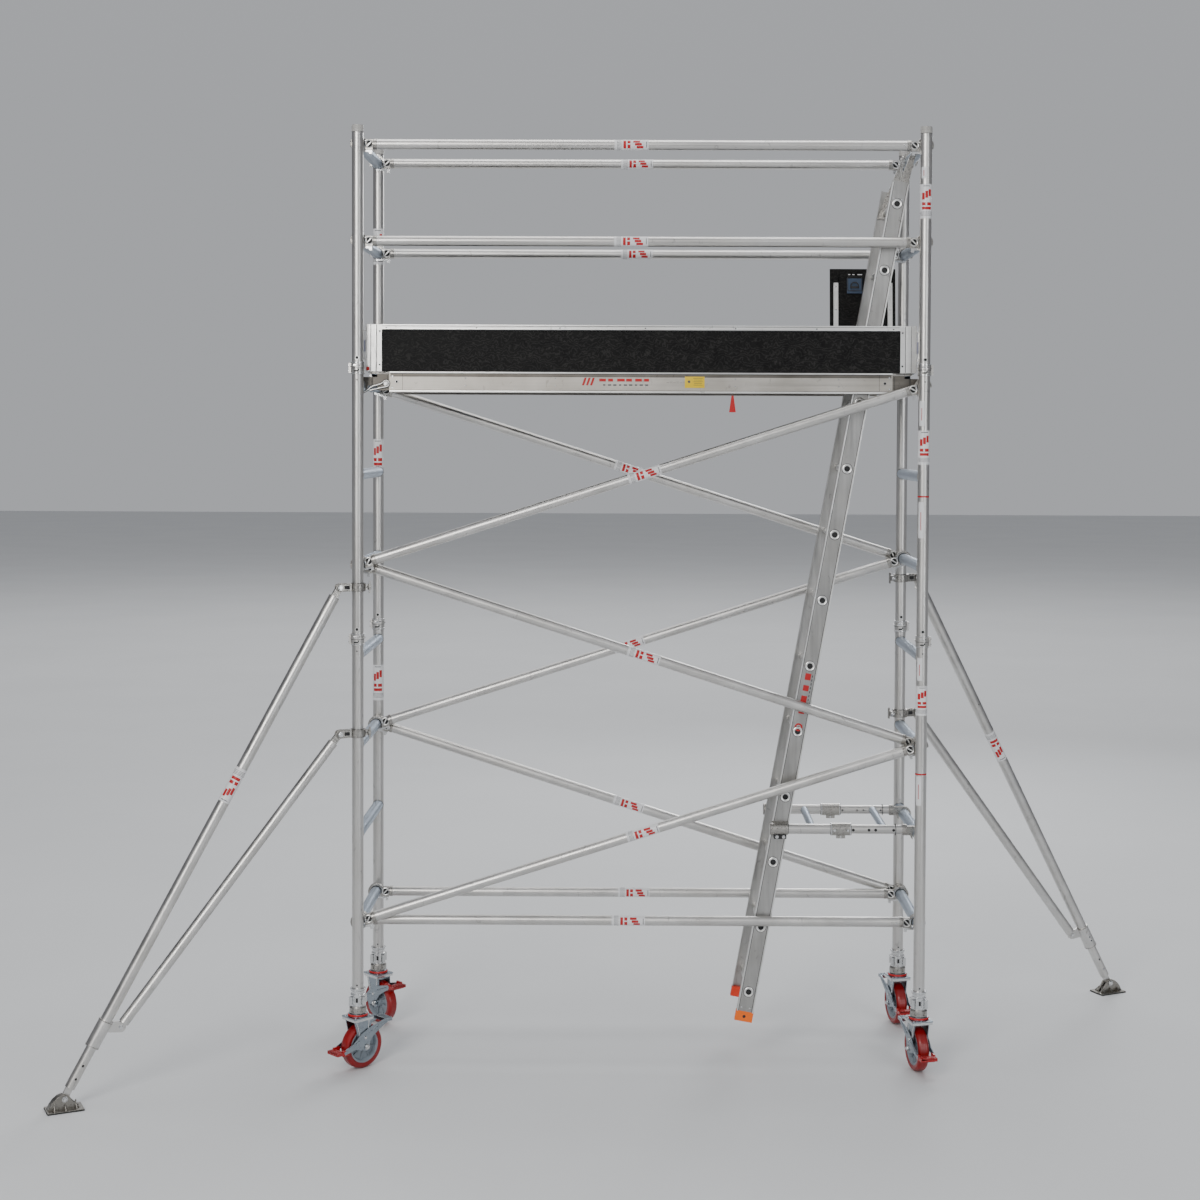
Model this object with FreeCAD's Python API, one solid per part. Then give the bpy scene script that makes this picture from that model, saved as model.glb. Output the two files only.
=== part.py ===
"""Mobile aluminium access tower, 2.5 m bay, one platform, two outriggers.

Millimetres. Origin on the floor at the middle of the four standards,
+X along the bay, +Y across it, +Z up.
"""
import FreeCAD, Part
import math
import os
from FreeCAD import Vector

os.makedirs("parts", exist_ok=True)

# ---------------------------------------------------------------- driving sizes
BAY = 2500.0              # between standard axes, along X
WIDTH = 700.0             # between standard axes, along Y
TUBE_OD = 50.8
TUBE_WALL = 2.0
RUNG_OD = 48.0
RUNG_WALL = 2.0
RUNG_PITCH = 400.0
FIRST_RUNG_Z = 650.0
COUPLING_RISE = 71.0      # frame joint above the rung below it
MID_RAIL_RISE = 635.0     # above the platform rung
TOP_RAIL_RISE = 1060.0
STANDARD_TOP_RISE = 70.0  # standard end above the top rail

BRACE_OD = 45.0
BRACE_WALL = 1.8
BRACE_START = 70.0        # tube end from the rung axis
CLAW_WIDTH = 26.0
CLAW_WALL = 13.0
CLAW_INSET = 14.6         # outer claw centre in from the standard's face
CLAW_SPACING = 40.0       # second claw beside the first
TRIGGER_TRAVEL = 26.0

BEAM_HEIGHT = 92.0
BEAM_DROP = 33.0          # beam underside below the platform rung axis
BEAM_SPACE = 26.0         # side beam face in from the outer brace's axis
BEAM_FLANGE = 25.0
BEAM_WALL = 3.0
BEAM_END_INSET = 131.0    # the next five are in from the rung axis
CASTING_INSET = 78.0
DECK_INSET = 45.0
TOE_END_INSET = 27.0
WIND_CLIP_INSET = 117.0
DECK_THICK = 12.0
CROSSBAR = 30.0
CROSSBAR_WALL = 2.0
CROSSBAR_PITCH = 400.0
HATCH_LENGTH = 315.0      # opening, back from the end of the deck
LID_GAP = 4.0             # lid to deck
LID_END_GAP = 2.0         # lid to the end of the deck
LID_EDGE_GAP = 8.7        # lid's free edge to the side beam's inner face
LATCH_INSET = 195.0       # latch centre from the end of the deck

TOE_HEIGHT = 208.0
TOE_OVERHANG = 13.0       # toe board face out from the side beam's
TOE_DEPTH = 25.0
TOE_CAP = 73.0
TOE_CHANNEL = 26.0
TOE_PANEL = 15.0

LADDER_TILT = 10.22       # from the vertical, degrees
LADDER_PITCH = 300.0
LADDER_RUNGS = 13
LADDER_SET = 751.0        # lowest rung in from the rungs it hooks on
LADDER_DROP = 3789.0      # lowest rung below the top rail
LADDER_SIDE_GAP = 120.0   # near stile in from the standard axis
LADDER_WIDTH = 380.0      # between stile centre lines
STILE_DEPTH = 75.0
STILE_THICK = 25.0
STILE_WALL = 3.0
LADDER_RUNG_OD = 30.0

BRACKET_RISE = 18.0       # ladder bracket above its rung axis
BRACKET_OD = 45.0
BRACKET_WALL = 2.5
BRACKET_RUNG_OD = 34.0
BRACKET_LENGTH = 654.0    # the next five are in from the rung axis
BRACKET_JOINT = 345.0
BRACKET_TUBE_INSET = 70.0
BRACKET_RUNGS = (470.0, 149.0)
BRACKET_HOLES = (290.0, 220.0, 190.0, 110.0)

OUTRIGGER_TURN = 26.0     # from the bay direction, degrees
OUTRIGGER_REACH = 1280.0
CLAMP_HIGH = 2152.0
CLAMP_LOW = 1503.0
CLAMP_PIN = 85.0          # clamp pin from the standard axis
OUTER_OD = 50.0
OUTER_WALL = 3.0
STRUT_OD = 45.0
FOOT_PIN_Z = 50.0
FOOT_LENGTH = 150.0
FOOT_WIDTH = 96.0
FOOT_THICK = 8.0
BRACKET_OFFSET = 70.0     # strut end beside the main tube

WHEEL_OD = 200.0
WHEEL_WIDTH = 50.0
HUB_OD = 150.0
TRAIL = 20.0
AXLE_D = 12.0
TREAD_GAP = 38.0          # wheel to the top of the fork plate
FORK_PLATE = 6.0
RACE_HEIGHT = 12.0
HEAD_HEIGHT = 33.0
NUT_HEIGHT = 77.0
STEM_OD = 36.0
STEM_REACH = 320.0        # stem above the foot of the standard

RUN_FIT = 0.08            # radial clearance of a shaft in its hole
BODY_GAP = 0.3            # between curved faces of different bodies
SIDE_GAP = 0.3            # beside a rotating part

# ---------------------------------------------------------------- worked out
HALF_BAY = BAY / 2
HALF_WIDTH = WIDTH / 2
TUBE_R = TUBE_OD / 2
RUNG_R = RUNG_OD / 2
WHEEL_R = WHEEL_OD / 2
FORK_TOP = WHEEL_OD + TREAD_GAP
HEAD_BASE = FORK_TOP + RACE_HEIGHT
HEAD_TOP = HEAD_BASE + HEAD_HEIGHT
TUBE_FOOT_Z = HEAD_TOP + NUT_HEIGHT
STEM_TOP = TUBE_FOOT_Z + STEM_REACH
LOW_JOINT_Z = FIRST_RUNG_Z + 3 * RUNG_PITCH + COUPLING_RISE
DECK_RUNG_Z = FIRST_RUNG_Z + 6 * RUNG_PITCH
HIGH_JOINT_Z = DECK_RUNG_Z + COUPLING_RISE
MID_RAIL_Z = DECK_RUNG_Z + MID_RAIL_RISE
TOP_RAIL_Z = DECK_RUNG_Z + TOP_RAIL_RISE
STANDARD_TOP_Z = TOP_RAIL_Z + STANDARD_TOP_RISE
CLAW_Y = HALF_WIDTH - TUBE_R - CLAW_INSET
CLAW_Y2 = CLAW_Y - CLAW_SPACING
CLAW_R = RUNG_R + BODY_GAP
BEAM_FACE = CLAW_Y - BEAM_SPACE
BEAM_END = HALF_BAY - BEAM_END_INSET
CASTING_END = HALF_BAY - CASTING_INSET
DECK_END = HALF_BAY - DECK_INSET
HATCH_START = DECK_END - HATCH_LENGTH
TOE_FACE = BEAM_FACE + TOE_OVERHANG
TOE_END = HALF_BAY - TOE_END_INSET
LADDER_X = HALF_BAY - LADDER_SET
LADDER_Z = TOP_RAIL_Z - LADDER_DROP
LADDER_NEAR = -(HALF_WIDTH - LADDER_SIDE_GAP)
LADDER_FAR = LADDER_NEAR + LADDER_WIDTH
BEAM_BASE = DECK_RUNG_Z - BEAM_DROP
DECK_TOP = BEAM_BASE + BEAM_HEIGHT
DECK_EDGE = BEAM_FACE - BEAM_FLANGE - BODY_GAP
TOE_TOP = DECK_TOP + TOE_HEIGHT
CORNERS = {"fl": (-1, -1), "fr": (1, -1), "bl": (-1, 1), "br": (1, 1)}
HEADINGS = {"fl": 225.0, "fr": 282.0, "bl": 135.0, "br": 282.0}
X_AXIS = Vector(1, 0, 0)
Y_AXIS = Vector(0, 1, 0)
Z_AXIS = Vector(0, 0, 1)


# ---------------------------------------------------------------- helpers
def save(node, solids):
    """Write one node, flattening any compound into its solids."""
    flat = [s for shape in solids for s in shape.Solids]
    Part.makeCompound(flat).exportStep(f"parts/{node}.step")


def box(x0, x1, y0, y1, z0, z1):
    return Part.makeBox(x1 - x0, y1 - y0, z1 - z0, Vector(x0, y0, z0))


def rod(start, end, diameter):
    run = end - start
    return Part.makeCylinder(diameter / 2, run.Length, start, run)


def tube(start, end, diameter, wall):
    return rod(start, end, diameter).cut(rod(start, end, diameter - 2 * wall))


def plate(outline, y0, y1):
    """Extrude an outline of (x, z) points from y0 to y1."""
    points = [Vector(x, y0, z) for x, z in outline]
    face = Part.Face(Part.makePolygon(points + points[:1]))
    return face.extrude(Vector(0, y1 - y0, 0))


def disc_y(x, z, diameter, y0, y1):
    return rod(Vector(x, y0, z), Vector(x, y1, z), diameter)


def bar_y(a, b, width, y0, y1):
    """A flat bar with round ends between two (x, z) points."""
    run = Vector(b[0] - a[0], 0, b[1] - a[1])
    side = Vector(-run.z, 0, run.x).normalize() * (width / 2)
    corners = [(a[0] + side.x, a[1] + side.z), (b[0] + side.x, b[1] + side.z),
               (b[0] - side.x, b[1] - side.z), (a[0] - side.x, a[1] - side.z)]
    body = plate(corners, y0, y1)
    for x, z in (a, b):
        body = body.fuse(disc_y(x, z, width, y0, y1))
    return body.removeSplitter()


def turned(shape, angle, axis, centre=Vector(0, 0, 0)):
    copy = shape.copy()
    copy.rotate(centre, axis, angle)
    return copy


def moved(shape, x, y, z):
    copy = shape.copy()
    copy.translate(Vector(x, y, z))
    return copy


def revolve_z(profile):
    """Revolve an outline of (r, z) points about Z."""
    points = [Vector(r, 0, z) for r, z in profile]
    face = Part.Face(Part.makePolygon(points + points[:1]))
    return face.revolve(Vector(0, 0, 0), Z_AXIS, 360)


# ---------------------------------------------------------------- end frames
def end_frame(side, low, high, levels):
    """One ladder frame: two standards and the rungs coped between them."""
    x = side * HALF_BAY
    standards = [tube(Vector(x, y, low), Vector(x, y, high), TUBE_OD, TUBE_WALL)
                 for y in (-HALF_WIDTH, HALF_WIDTH)]
    solids = list(standards)
    for z in levels:
        rung = tube(Vector(x, -HALF_WIDTH, z), Vector(x, HALF_WIDTH, z), RUNG_OD, RUNG_WALL)
        for y in (-HALF_WIDTH, HALF_WIDTH):
            cope = rod(Vector(x, y, z - RUNG_OD), Vector(x, y, z + RUNG_OD), TUBE_OD)
            rung = rung.cut(cope)
        solids.append(rung)
    return solids


BASE_LEVELS = [FIRST_RUNG_Z + k * RUNG_PITCH for k in range(4)]
MID_LEVELS = [FIRST_RUNG_Z + k * RUNG_PITCH for k in range(4, 7)]
for side, name in ((-1, "left"), (1, "right")):
    save(f"base_frame_{name}", end_frame(side, TUBE_FOOT_Z, LOW_JOINT_Z, BASE_LEVELS))
    save(f"mid_frame_{name}", end_frame(side, LOW_JOINT_Z, HIGH_JOINT_Z, MID_LEVELS))
    guard = end_frame(side, HIGH_JOINT_Z, STANDARD_TOP_Z, [MID_RAIL_Z, TOP_RAIL_Z])
    save(f"guard_frame_{name}", guard)

SPIGOT_REACH = 110.0
COLLAR_WALL = 3.6
COLLAR_OD = TUBE_OD + 2 * COLLAR_WALL
COLLAR_HALF = 27.0
CLIP_WIRE = 5.0
CAP_RIM = 8.0
CAP_PLUG = 30.0
spigots, collars, clips, caps = [], [], [], []
bore = TUBE_OD - 2 * TUBE_WALL
for sx, sy in CORNERS.values():
    x, y = sx * HALF_BAY, sy * HALF_WIDTH
    for joint in (LOW_JOINT_Z, HIGH_JOINT_Z):
        spigots.append(tube(Vector(x, y, joint - SPIGOT_REACH),
                            Vector(x, y, joint + SPIGOT_REACH),
                            bore - 2 * RUN_FIT, TUBE_WALL))
        collars.append(tube(Vector(x, y, joint - COLLAR_HALF),
                            Vector(x, y, joint + COLLAR_HALF),
                            COLLAR_OD, (COLLAR_OD - TUBE_OD) / 2))
        ring = tube(Vector(x, y, joint + 4), Vector(x, y, joint + 4 + CLIP_WIRE),
                    COLLAR_OD + 2 * CLIP_WIRE, CLIP_WIRE)
        mouth = box(x - TUBE_R, x + TUBE_R, y - sy * COLLAR_OD - 30, y - sy * COLLAR_OD + 30,
                    joint, joint + 14)
        tab_x0, tab_x1 = sorted((x + sx * COLLAR_OD / 2, x + sx * (COLLAR_OD / 2 + 10)))
        tab = box(tab_x0, tab_x1, y - 7, y + 7, joint - 22, joint + 22)
        clip = ring.cut(mouth).fuse(tab)
        clips.append(clip.cut(rod(Vector(x, y, joint - 30), Vector(x, y, joint + 30), COLLAR_OD)))
    cap = rod(Vector(x, y, STANDARD_TOP_Z), Vector(x, y, STANDARD_TOP_Z + CAP_RIM), TUBE_OD)
    plug = rod(Vector(x, y, STANDARD_TOP_Z - CAP_PLUG), Vector(x, y, STANDARD_TOP_Z),
               bore - 2 * RUN_FIT)
    caps.append(cap.fuse(plug))
save("frame_spigots", spigots)
save("frame_collars", collars + clips)
save("standard_caps", caps)


# ---------------------------------------------------------------- braces
def claw():
    """Cast hook on a rung at the origin, its tube leaving along +X."""
    half = CLAW_WIDTH / 2
    outer = CLAW_R + CLAW_WALL
    jaw = disc_y(0, 0, 2 * outer, -half, half)
    neck = box(CLAW_R, BRACE_START - 8, -half, half, -CLAW_R - 0.5, 20)
    collar = rod(Vector(BRACE_START - 8, 0, 0), Vector(BRACE_START, 0, 0), BRACE_OD)
    shank = rod(Vector(BRACE_START, 0, 0), Vector(BRACE_START + 45, 0, 0),
                BRACE_OD - 2 * BRACE_WALL - 2 * RUN_FIT)
    body = jaw.fuse(neck).fuse(collar).fuse(shank)
    body = body.cut(disc_y(0, 0, 2 * CLAW_R, -half, half))
    body = body.cut(box(-CLAW_R, CLAW_R, -half, half, -2 * outer, 0))
    body = body.cut(box(-2 * outer, -CLAW_R + 1, -half, half, -2 * outer, -14))
    return body.cut(box(-CLAW_R, outer + 2, -half, half, -2 * outer, -CLAW_R - 0.5))


def trigger():
    """Spring trigger that closes the claw's mouth under the rung."""
    top = -CLAW_R - 0.5
    bar = box(-4, 58, -7, 7, top - 9, top)
    return bar.fuse(box(46, 58, -10, 10, top - 18, top - 9)).removeSplitter()


def place_end(shape, side, slope, x, y, z):
    """Put a claw or trigger on a rung, at the left (-1) or right (1) end."""
    part = shape if side < 0 else shape.mirror(Vector(0, 0, 0), X_AXIS)
    return moved(turned(part, -slope, Y_AXIS), x, y, z)


CLAW = claw()
TRIGGER = trigger()
claws = []
triggers = {(kind, side): [] for kind in ("level", "rising", "falling") for side in (-1, 1)}


def brace(y, z_left, z_right):
    """A brace tube between a left and a right rung, with its claws."""
    start = Vector(-HALF_BAY, y, z_left)
    end = Vector(HALF_BAY, y, z_right)
    run = (end - start).normalize()
    slope = math.degrees(math.atan2(z_right - z_left, BAY))
    kind = "level" if slope == 0 else ("rising" if slope > 0 else "falling")
    for side, node in ((-1, start), (1, end)):
        claws.append(place_end(CLAW, side, slope, node.x, node.y, node.z))
        triggers[kind, side].append(place_end(TRIGGER, side, slope, node.x, node.y, node.z))
    return tube(start + run * BRACE_START, end - run * BRACE_START, BRACE_OD, BRACE_WALL)


LOW, ONE, TWO, SIX = FIRST_RUNG_Z, BASE_LEVELS[2], MID_LEVELS[0], DECK_RUNG_Z
save("guardrails", [brace(sy * CLAW_Y, z, z) for z in (MID_RAIL_Z, TOP_RAIL_Z) for sy in (-1, 1)])
save("front_braces", [brace(-CLAW_Y, TWO, SIX), brace(-CLAW_Y2, TWO, ONE),
                      brace(-CLAW_Y, LOW, ONE), brace(-CLAW_Y2, LOW, LOW)])
save("back_braces", [brace(CLAW_Y, SIX, TWO), brace(CLAW_Y2, ONE, TWO),
                     brace(CLAW_Y, ONE, LOW), brace(CLAW_Y2, LOW, LOW)])
save("brace_claws", claws)
for (kind, side), solids in triggers.items():
    save(f"triggers_{kind}_{'left' if side < 0 else 'right'}", solids)


# ---------------------------------------------------------------- platform
def side_beam(sy):
    """C channel, web outside, with an end casting at each end."""
    y0, y1 = sorted((sy * BEAM_FACE, sy * (BEAM_FACE - BEAM_FLANGE)))
    body = box(-BEAM_END, BEAM_END, y0, y1, BEAM_BASE, DECK_TOP)
    inner = (y0 + BEAM_WALL, y1 + 1) if sy < 0 else (y0 - 1, y1 - BEAM_WALL)
    return body.cut(box(-BEAM_END, BEAM_END, inner[0], inner[1],
                        BEAM_BASE + BEAM_WALL, DECK_TOP - BEAM_WALL))


save("platform_beam_front", [side_beam(-1)])
save("platform_beam_back", [side_beam(1)])

bar_reach = BEAM_FACE - BEAM_WALL
bar_top = DECK_TOP - DECK_THICK
end_bar = DECK_END - CROSSBAR / 2 - 3
hatch_bar = HATCH_START - CROSSBAR / 2 - 5
inner_bars = [k * CROSSBAR_PITCH for k in range(-9, 10)]
inner_bars = [x for x in inner_bars
              if -end_bar + CROSSBAR_PITCH / 2 < x < hatch_bar - CROSSBAR_PITCH / 2]
bar_places = [-end_bar] + inner_bars + [hatch_bar, end_bar]
crossbars = []
for x in bar_places:
    reach = bar_reach if abs(x) < BEAM_END else DECK_EDGE
    solid = box(x - CROSSBAR / 2, x + CROSSBAR / 2, -reach, reach, bar_top - CROSSBAR, bar_top)
    half = CROSSBAR / 2 - CROSSBAR_WALL
    crossbars.append(solid.cut(box(x - half, x + half, -reach, reach,
                                   bar_top - CROSSBAR + CROSSBAR_WALL,
                                   bar_top - CROSSBAR_WALL)))
save("platform_crossbars", crossbars)

HOOK_WIDTH = 24.0
HOOK_WALL = 10.0


def platform_hook(sx, sy):
    """End casting of a side beam with its hook over the rung."""
    y_out = sy * BEAM_FACE
    y_in = sy * (BEAM_FACE - BEAM_FLANGE)
    y0, y1 = sorted((y_out, y_in))
    x0, x1 = sorted((sx * BEAM_END, sx * CASTING_END))
    block = box(x0, x1, y0, y1, BEAM_BASE + 8, DECK_TOP - DECK_THICK)
    ya, yb = sorted((sy * (BEAM_FACE - 3), sy * (BEAM_FACE - BEAM_FLANGE)))
    rung_x = sx * HALF_BAY
    ring = disc_y(rung_x, DECK_RUNG_Z, 2 * (RUNG_R + HOOK_WALL), ya, yb)
    xa, xb = sorted((sx * CASTING_END, rung_x))
    neck = box(xa, xb, ya, yb, DECK_RUNG_Z - 4, DECK_RUNG_Z + RUNG_R + HOOK_WALL)
    body = block.fuse(ring).fuse(neck)
    body = body.cut(disc_y(rung_x, DECK_RUNG_Z, RUNG_OD, ya, yb))
    return body.cut(box(rung_x - RUNG_R, rung_x + RUNG_R, ya, yb,
                        DECK_RUNG_Z - 3 * RUNG_R, DECK_RUNG_Z)).removeSplitter()


hooks = [platform_hook(sx, sy) for sx, sy in CORNERS.values()]
CLIP_X = -(HALF_BAY - WIND_CLIP_INSET)
CLIP_Z = DECK_RUNG_Z + 5
CLIP_THICK = 6.0
clip_pin = disc_y(CLIP_X, CLIP_Z, 8, -BEAM_FACE - CLIP_THICK, -BEAM_FACE)
clip_head = disc_y(CLIP_X, CLIP_Z, 14, -BEAM_FACE - CLIP_THICK - 3, -BEAM_FACE - CLIP_THICK)
TAG_X = 409.0
TAG_EYE = 5.0
TAG_THICK = 3.0
TAG_LENGTH = 78.0
TAG_Y = -(BEAM_FACE - 10)
tag_z = BEAM_BASE - TAG_EYE - 1
ears = box(TAG_X - 4, TAG_X + 4, TAG_Y - 5, TAG_Y + 5, tag_z - 4, BEAM_BASE)
ears = ears.cut(box(TAG_X - 9, TAG_X + 9, TAG_Y - TAG_THICK / 2 - SIDE_GAP,
                    TAG_Y + TAG_THICK / 2 + SIDE_GAP, tag_z - 9, BEAM_BASE - 0.5))
tag_pin = disc_y(TAG_X, tag_z, 4, TAG_Y - 5, TAG_Y + 5)
save("platform_fittings", hooks + [clip_pin.fuse(clip_head), ears.fuse(tag_pin)])

tag = plate([(TAG_X - 4, tag_z), (TAG_X + 4, tag_z), (TAG_X + 15, tag_z - TAG_LENGTH),
             (TAG_X - 15, tag_z - TAG_LENGTH)], TAG_Y - TAG_THICK / 2, TAG_Y + TAG_THICK / 2)
tag = tag.fuse(disc_y(TAG_X, tag_z, 2 * TAG_EYE, TAG_Y - TAG_THICK / 2, TAG_Y + TAG_THICK / 2))
tag = tag.cut(disc_y(TAG_X, tag_z, 4 + 2 * RUN_FIT, TAG_Y - TAG_THICK, TAG_Y + TAG_THICK))
save("pull_tag", [tag])

loop = bar_y((CLIP_X, CLIP_Z), (CLIP_X - 74, CLIP_Z - 24), 30,
             -BEAM_FACE - CLIP_THICK, -BEAM_FACE)
loop = loop.cut(bar_y((CLIP_X - 26, CLIP_Z - 8), (CLIP_X - 74, CLIP_Z - 24), 18,
                      -BEAM_FACE - CLIP_THICK, -BEAM_FACE))
tail = bar_y((CLIP_X - 80, CLIP_Z - 37), (CLIP_X - 112, CLIP_Z - 46), 6,
             -BEAM_FACE - CLIP_THICK, -BEAM_FACE)
loop = loop.fuse(tail).cut(disc_y(CLIP_X, CLIP_Z, 8 + 2 * RUN_FIT,
                                  -BEAM_FACE - 2 * CLIP_THICK, -BEAM_FACE))
save("wind_lock_clip", [loop])

deck = box(-DECK_END, DECK_END, -DECK_EDGE, DECK_EDGE, DECK_TOP - DECK_THICK, DECK_TOP)
deck = deck.cut(box(HATCH_START, DECK_END + 1, -DECK_EDGE, DECK_EDGE,
                    DECK_TOP - 2 * DECK_THICK, DECK_TOP + 1))
save("deck_panel", [deck])

# lid, drawn shut, then opened about its hinge at the back
KNUCKLE = 8.0
HINGE_PIN = 4.0
HINGE_INSET = 2.7
HINGE_Y = DECK_EDGE - HINGE_INSET
HINGE_Z = DECK_TOP + KNUCKLE / 2
HINGE = Vector(0, HINGE_Y, HINGE_Z)
LID_X0 = HATCH_START + LID_GAP
LID_X1 = DECK_END - LID_END_GAP
lid_y1 = HINGE_Y - KNUCKLE / 2
lid_y0 = -(DECK_EDGE - LID_EDGE_GAP)
toe_inner = TOE_FACE - TOE_DEPTH


def lean_on(y, z):
    """Lean of the open lid when its back rests on an edge at (y, z), degrees."""
    out = y - HINGE_Y - BODY_GAP
    rise = z - HINGE_Z
    return math.degrees(math.atan2(out, rise) + math.asin(KNUCKLE / 2 / math.hypot(out, rise)))


# the open lid rests on the toe board's top inner edge, or on the mid rail if it is long enough
lean = lean_on(toe_inner, TOE_TOP)
if HINGE_Y - lid_y0 > MID_RAIL_Z - BRACE_OD / 2 - HINGE_Z:
    lean = min(lean, lean_on(CLAW_Y - BRACE_OD / 2, MID_RAIL_Z))
OPEN_TURN = -(90 + lean)
BATTEN = 22.0
BATTEN_DEPTH = 12.0
lid = box(LID_X0, LID_X1, lid_y0, lid_y1, DECK_TOP - DECK_THICK, DECK_TOP)
battens = [box(x, x + BATTEN, lid_y0 + 20, lid_y1 - 8,
               DECK_TOP - DECK_THICK - BATTEN_DEPTH, DECK_TOP - DECK_THICK)
           for x in (LID_X0 + 16, LID_X1 - 16 - BATTEN)]
lid_solids = [turned(s, OPEN_TURN, X_AXIS, HINGE) for s in [lid] + battens]

SEGMENT = (LID_X1 - LID_X0) / 7


def knuckles(parity):
    """Every second knuckle of the piano hinge."""
    return [(LID_X0 + k * SEGMENT, LID_X0 + (k + 1) * SEGMENT)
            for k in range(7) if k % 2 == parity]


hinge_fixed = [rod(Vector(LID_X0, HINGE_Y, HINGE_Z), Vector(LID_X1, HINGE_Y, HINGE_Z),
                   HINGE_PIN)]
knuckle_wall = (KNUCKLE - HINGE_PIN) / 2
for x0, x1 in knuckles(0):
    barrel = tube(Vector(x0 + 0.2, HINGE_Y, HINGE_Z), Vector(x1 - 0.2, HINGE_Y, HINGE_Z),
                  KNUCKLE, knuckle_wall)
    leaf = box(x0 + 0.2, x1 - 0.2, HINGE_Y, toe_inner, DECK_TOP, DECK_TOP + 2)
    leaf = leaf.cut(rod(Vector(x0, HINGE_Y, HINGE_Z), Vector(x1, HINGE_Y, HINGE_Z), HINGE_PIN))
    hinge_fixed.append(barrel.fuse(leaf))
save("hatch_hinge", hinge_fixed)
for x0, x1 in knuckles(1):
    barrel = tube(Vector(x0 + 0.2, HINGE_Y, HINGE_Z), Vector(x1 - 0.2, HINGE_Y, HINGE_Z),
                  KNUCKLE, knuckle_wall - RUN_FIT)
    leaf = box(x0 + 0.2, x1 - 0.2, HINGE_Y - 22, HINGE_Y, DECK_TOP, DECK_TOP + 1.5)
    leaf = leaf.cut(rod(Vector(x0, HINGE_Y, HINGE_Z), Vector(x1, HINGE_Y, HINGE_Z), KNUCKLE - 1))
    lid_solids.append(turned(barrel.fuse(leaf), OPEN_TURN, X_AXIS, HINGE))
save("hatch_lid", lid_solids)

LATCH_X = DECK_END - LATCH_INSET
LATCH_SIZE = 72.0
latch_y = lid_y0 + 46
latch_z = DECK_TOP - DECK_THICK
latch = box(LATCH_X - LATCH_SIZE / 2, LATCH_X + LATCH_SIZE / 2, latch_y, latch_y + LATCH_SIZE,
            latch_z - 8, latch_z)
latch = latch.cut(rod(Vector(LATCH_X, latch_y + 40, latch_z - 9),
                      Vector(LATCH_X, latch_y + 40, latch_z - 4), 44))
save("hatch_latch", [turned(latch, OPEN_TURN, X_AXIS, HINGE)])

# ---------------------------------------------------------------- toe boards
panels, frames = [], []
for sy in (-1, 1):
    face0, face1 = sorted((sy * TOE_FACE, sy * (TOE_FACE - TOE_DEPTH)))
    skin = (TOE_DEPTH - TOE_PANEL) / 2
    inner = TOE_END - TOE_CAP
    panels.append(box(-inner, inner, face0 + skin, face1 - skin, DECK_TOP, TOE_TOP - 4))
    channel = box(-inner, inner, face0, face1, TOE_TOP - TOE_CHANNEL, TOE_TOP)
    frames.append(channel.cut(box(-inner, inner, face0 + skin, face1 - skin,
                                  TOE_TOP - 2 * TOE_CHANNEL, TOE_TOP - 4)))
    for sx in (-1, 1):
        x0, x1 = sorted((sx * inner, sx * TOE_END))
        frames.append(box(x0, x1, face0, face1, DECK_TOP, TOE_TOP))
for sx in (-1, 1):
    x0, x1 = sorted((sx * (DECK_END + 2), sx * TOE_END))
    reach = TOE_FACE - TOE_DEPTH
    panels.append(box(x0, x1, -reach, reach, DECK_TOP, TOE_TOP - 12))
save("toe_board_panels", panels)
save("toe_board_frames", frames)

# ---------------------------------------------------------------- ladder
UP = Vector(math.sin(math.radians(LADDER_TILT)), 0, math.cos(math.radians(LADDER_TILT)))
OUT = Vector(UP.z, 0, -UP.x)
FOOT_RUN = 136.0
FOOT_LEN = 46.0
TOP_RUN = 100.0
first_rung = Vector(LADDER_X, 0, LADDER_Z)


def on_ladder(run, side=0.0):
    """Point on the ladder plane: run up from the lowest rung, side across it."""
    return first_rung + UP * run + OUT * side


def ladder_bar(run0, run1, side0, side1, y0, y1):
    corners = [on_ladder(run0, side0), on_ladder(run1, side0),
               on_ladder(run1, side1), on_ladder(run0, side1)]
    return plate([(c.x, c.z) for c in corners], y0, y1)


ladder_top = (LADDER_RUNGS - 1) * LADDER_PITCH + TOP_RUN
half_depth = STILE_DEPTH / 2
half_thick = STILE_THICK / 2
stiles, rungs, top_hooks, feet = [], [], [], []
for y, sy in ((LADDER_NEAR, -1), (LADDER_FAR, 1)):
    low = FOOT_LEN - FOOT_RUN
    stile = ladder_bar(low, ladder_top, -half_depth, half_depth, y - half_thick, y + half_thick)
    pocket = ((y - half_thick + STILE_WALL, y + half_thick + 1) if sy < 0 else
              (y - half_thick - 1, y + half_thick - STILE_WALL))
    stile = stile.cut(ladder_bar(low, ladder_top, -half_depth + STILE_WALL,
                                 half_depth - STILE_WALL, pocket[0], pocket[1]))
    for k in range(LADDER_RUNGS):
        centre = on_ladder(k * LADDER_PITCH)
        stile = stile.cut(disc_y(centre.x, centre.z, LADDER_RUNG_OD, y - 20, y + 20))
    stiles.append(stile)
    feet.append(ladder_bar(-FOOT_RUN, low, -half_depth - 2, half_depth + 2,
                           y - half_thick - 1, y + half_thick + 1))
save("ladder_stiles", stiles)
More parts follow.
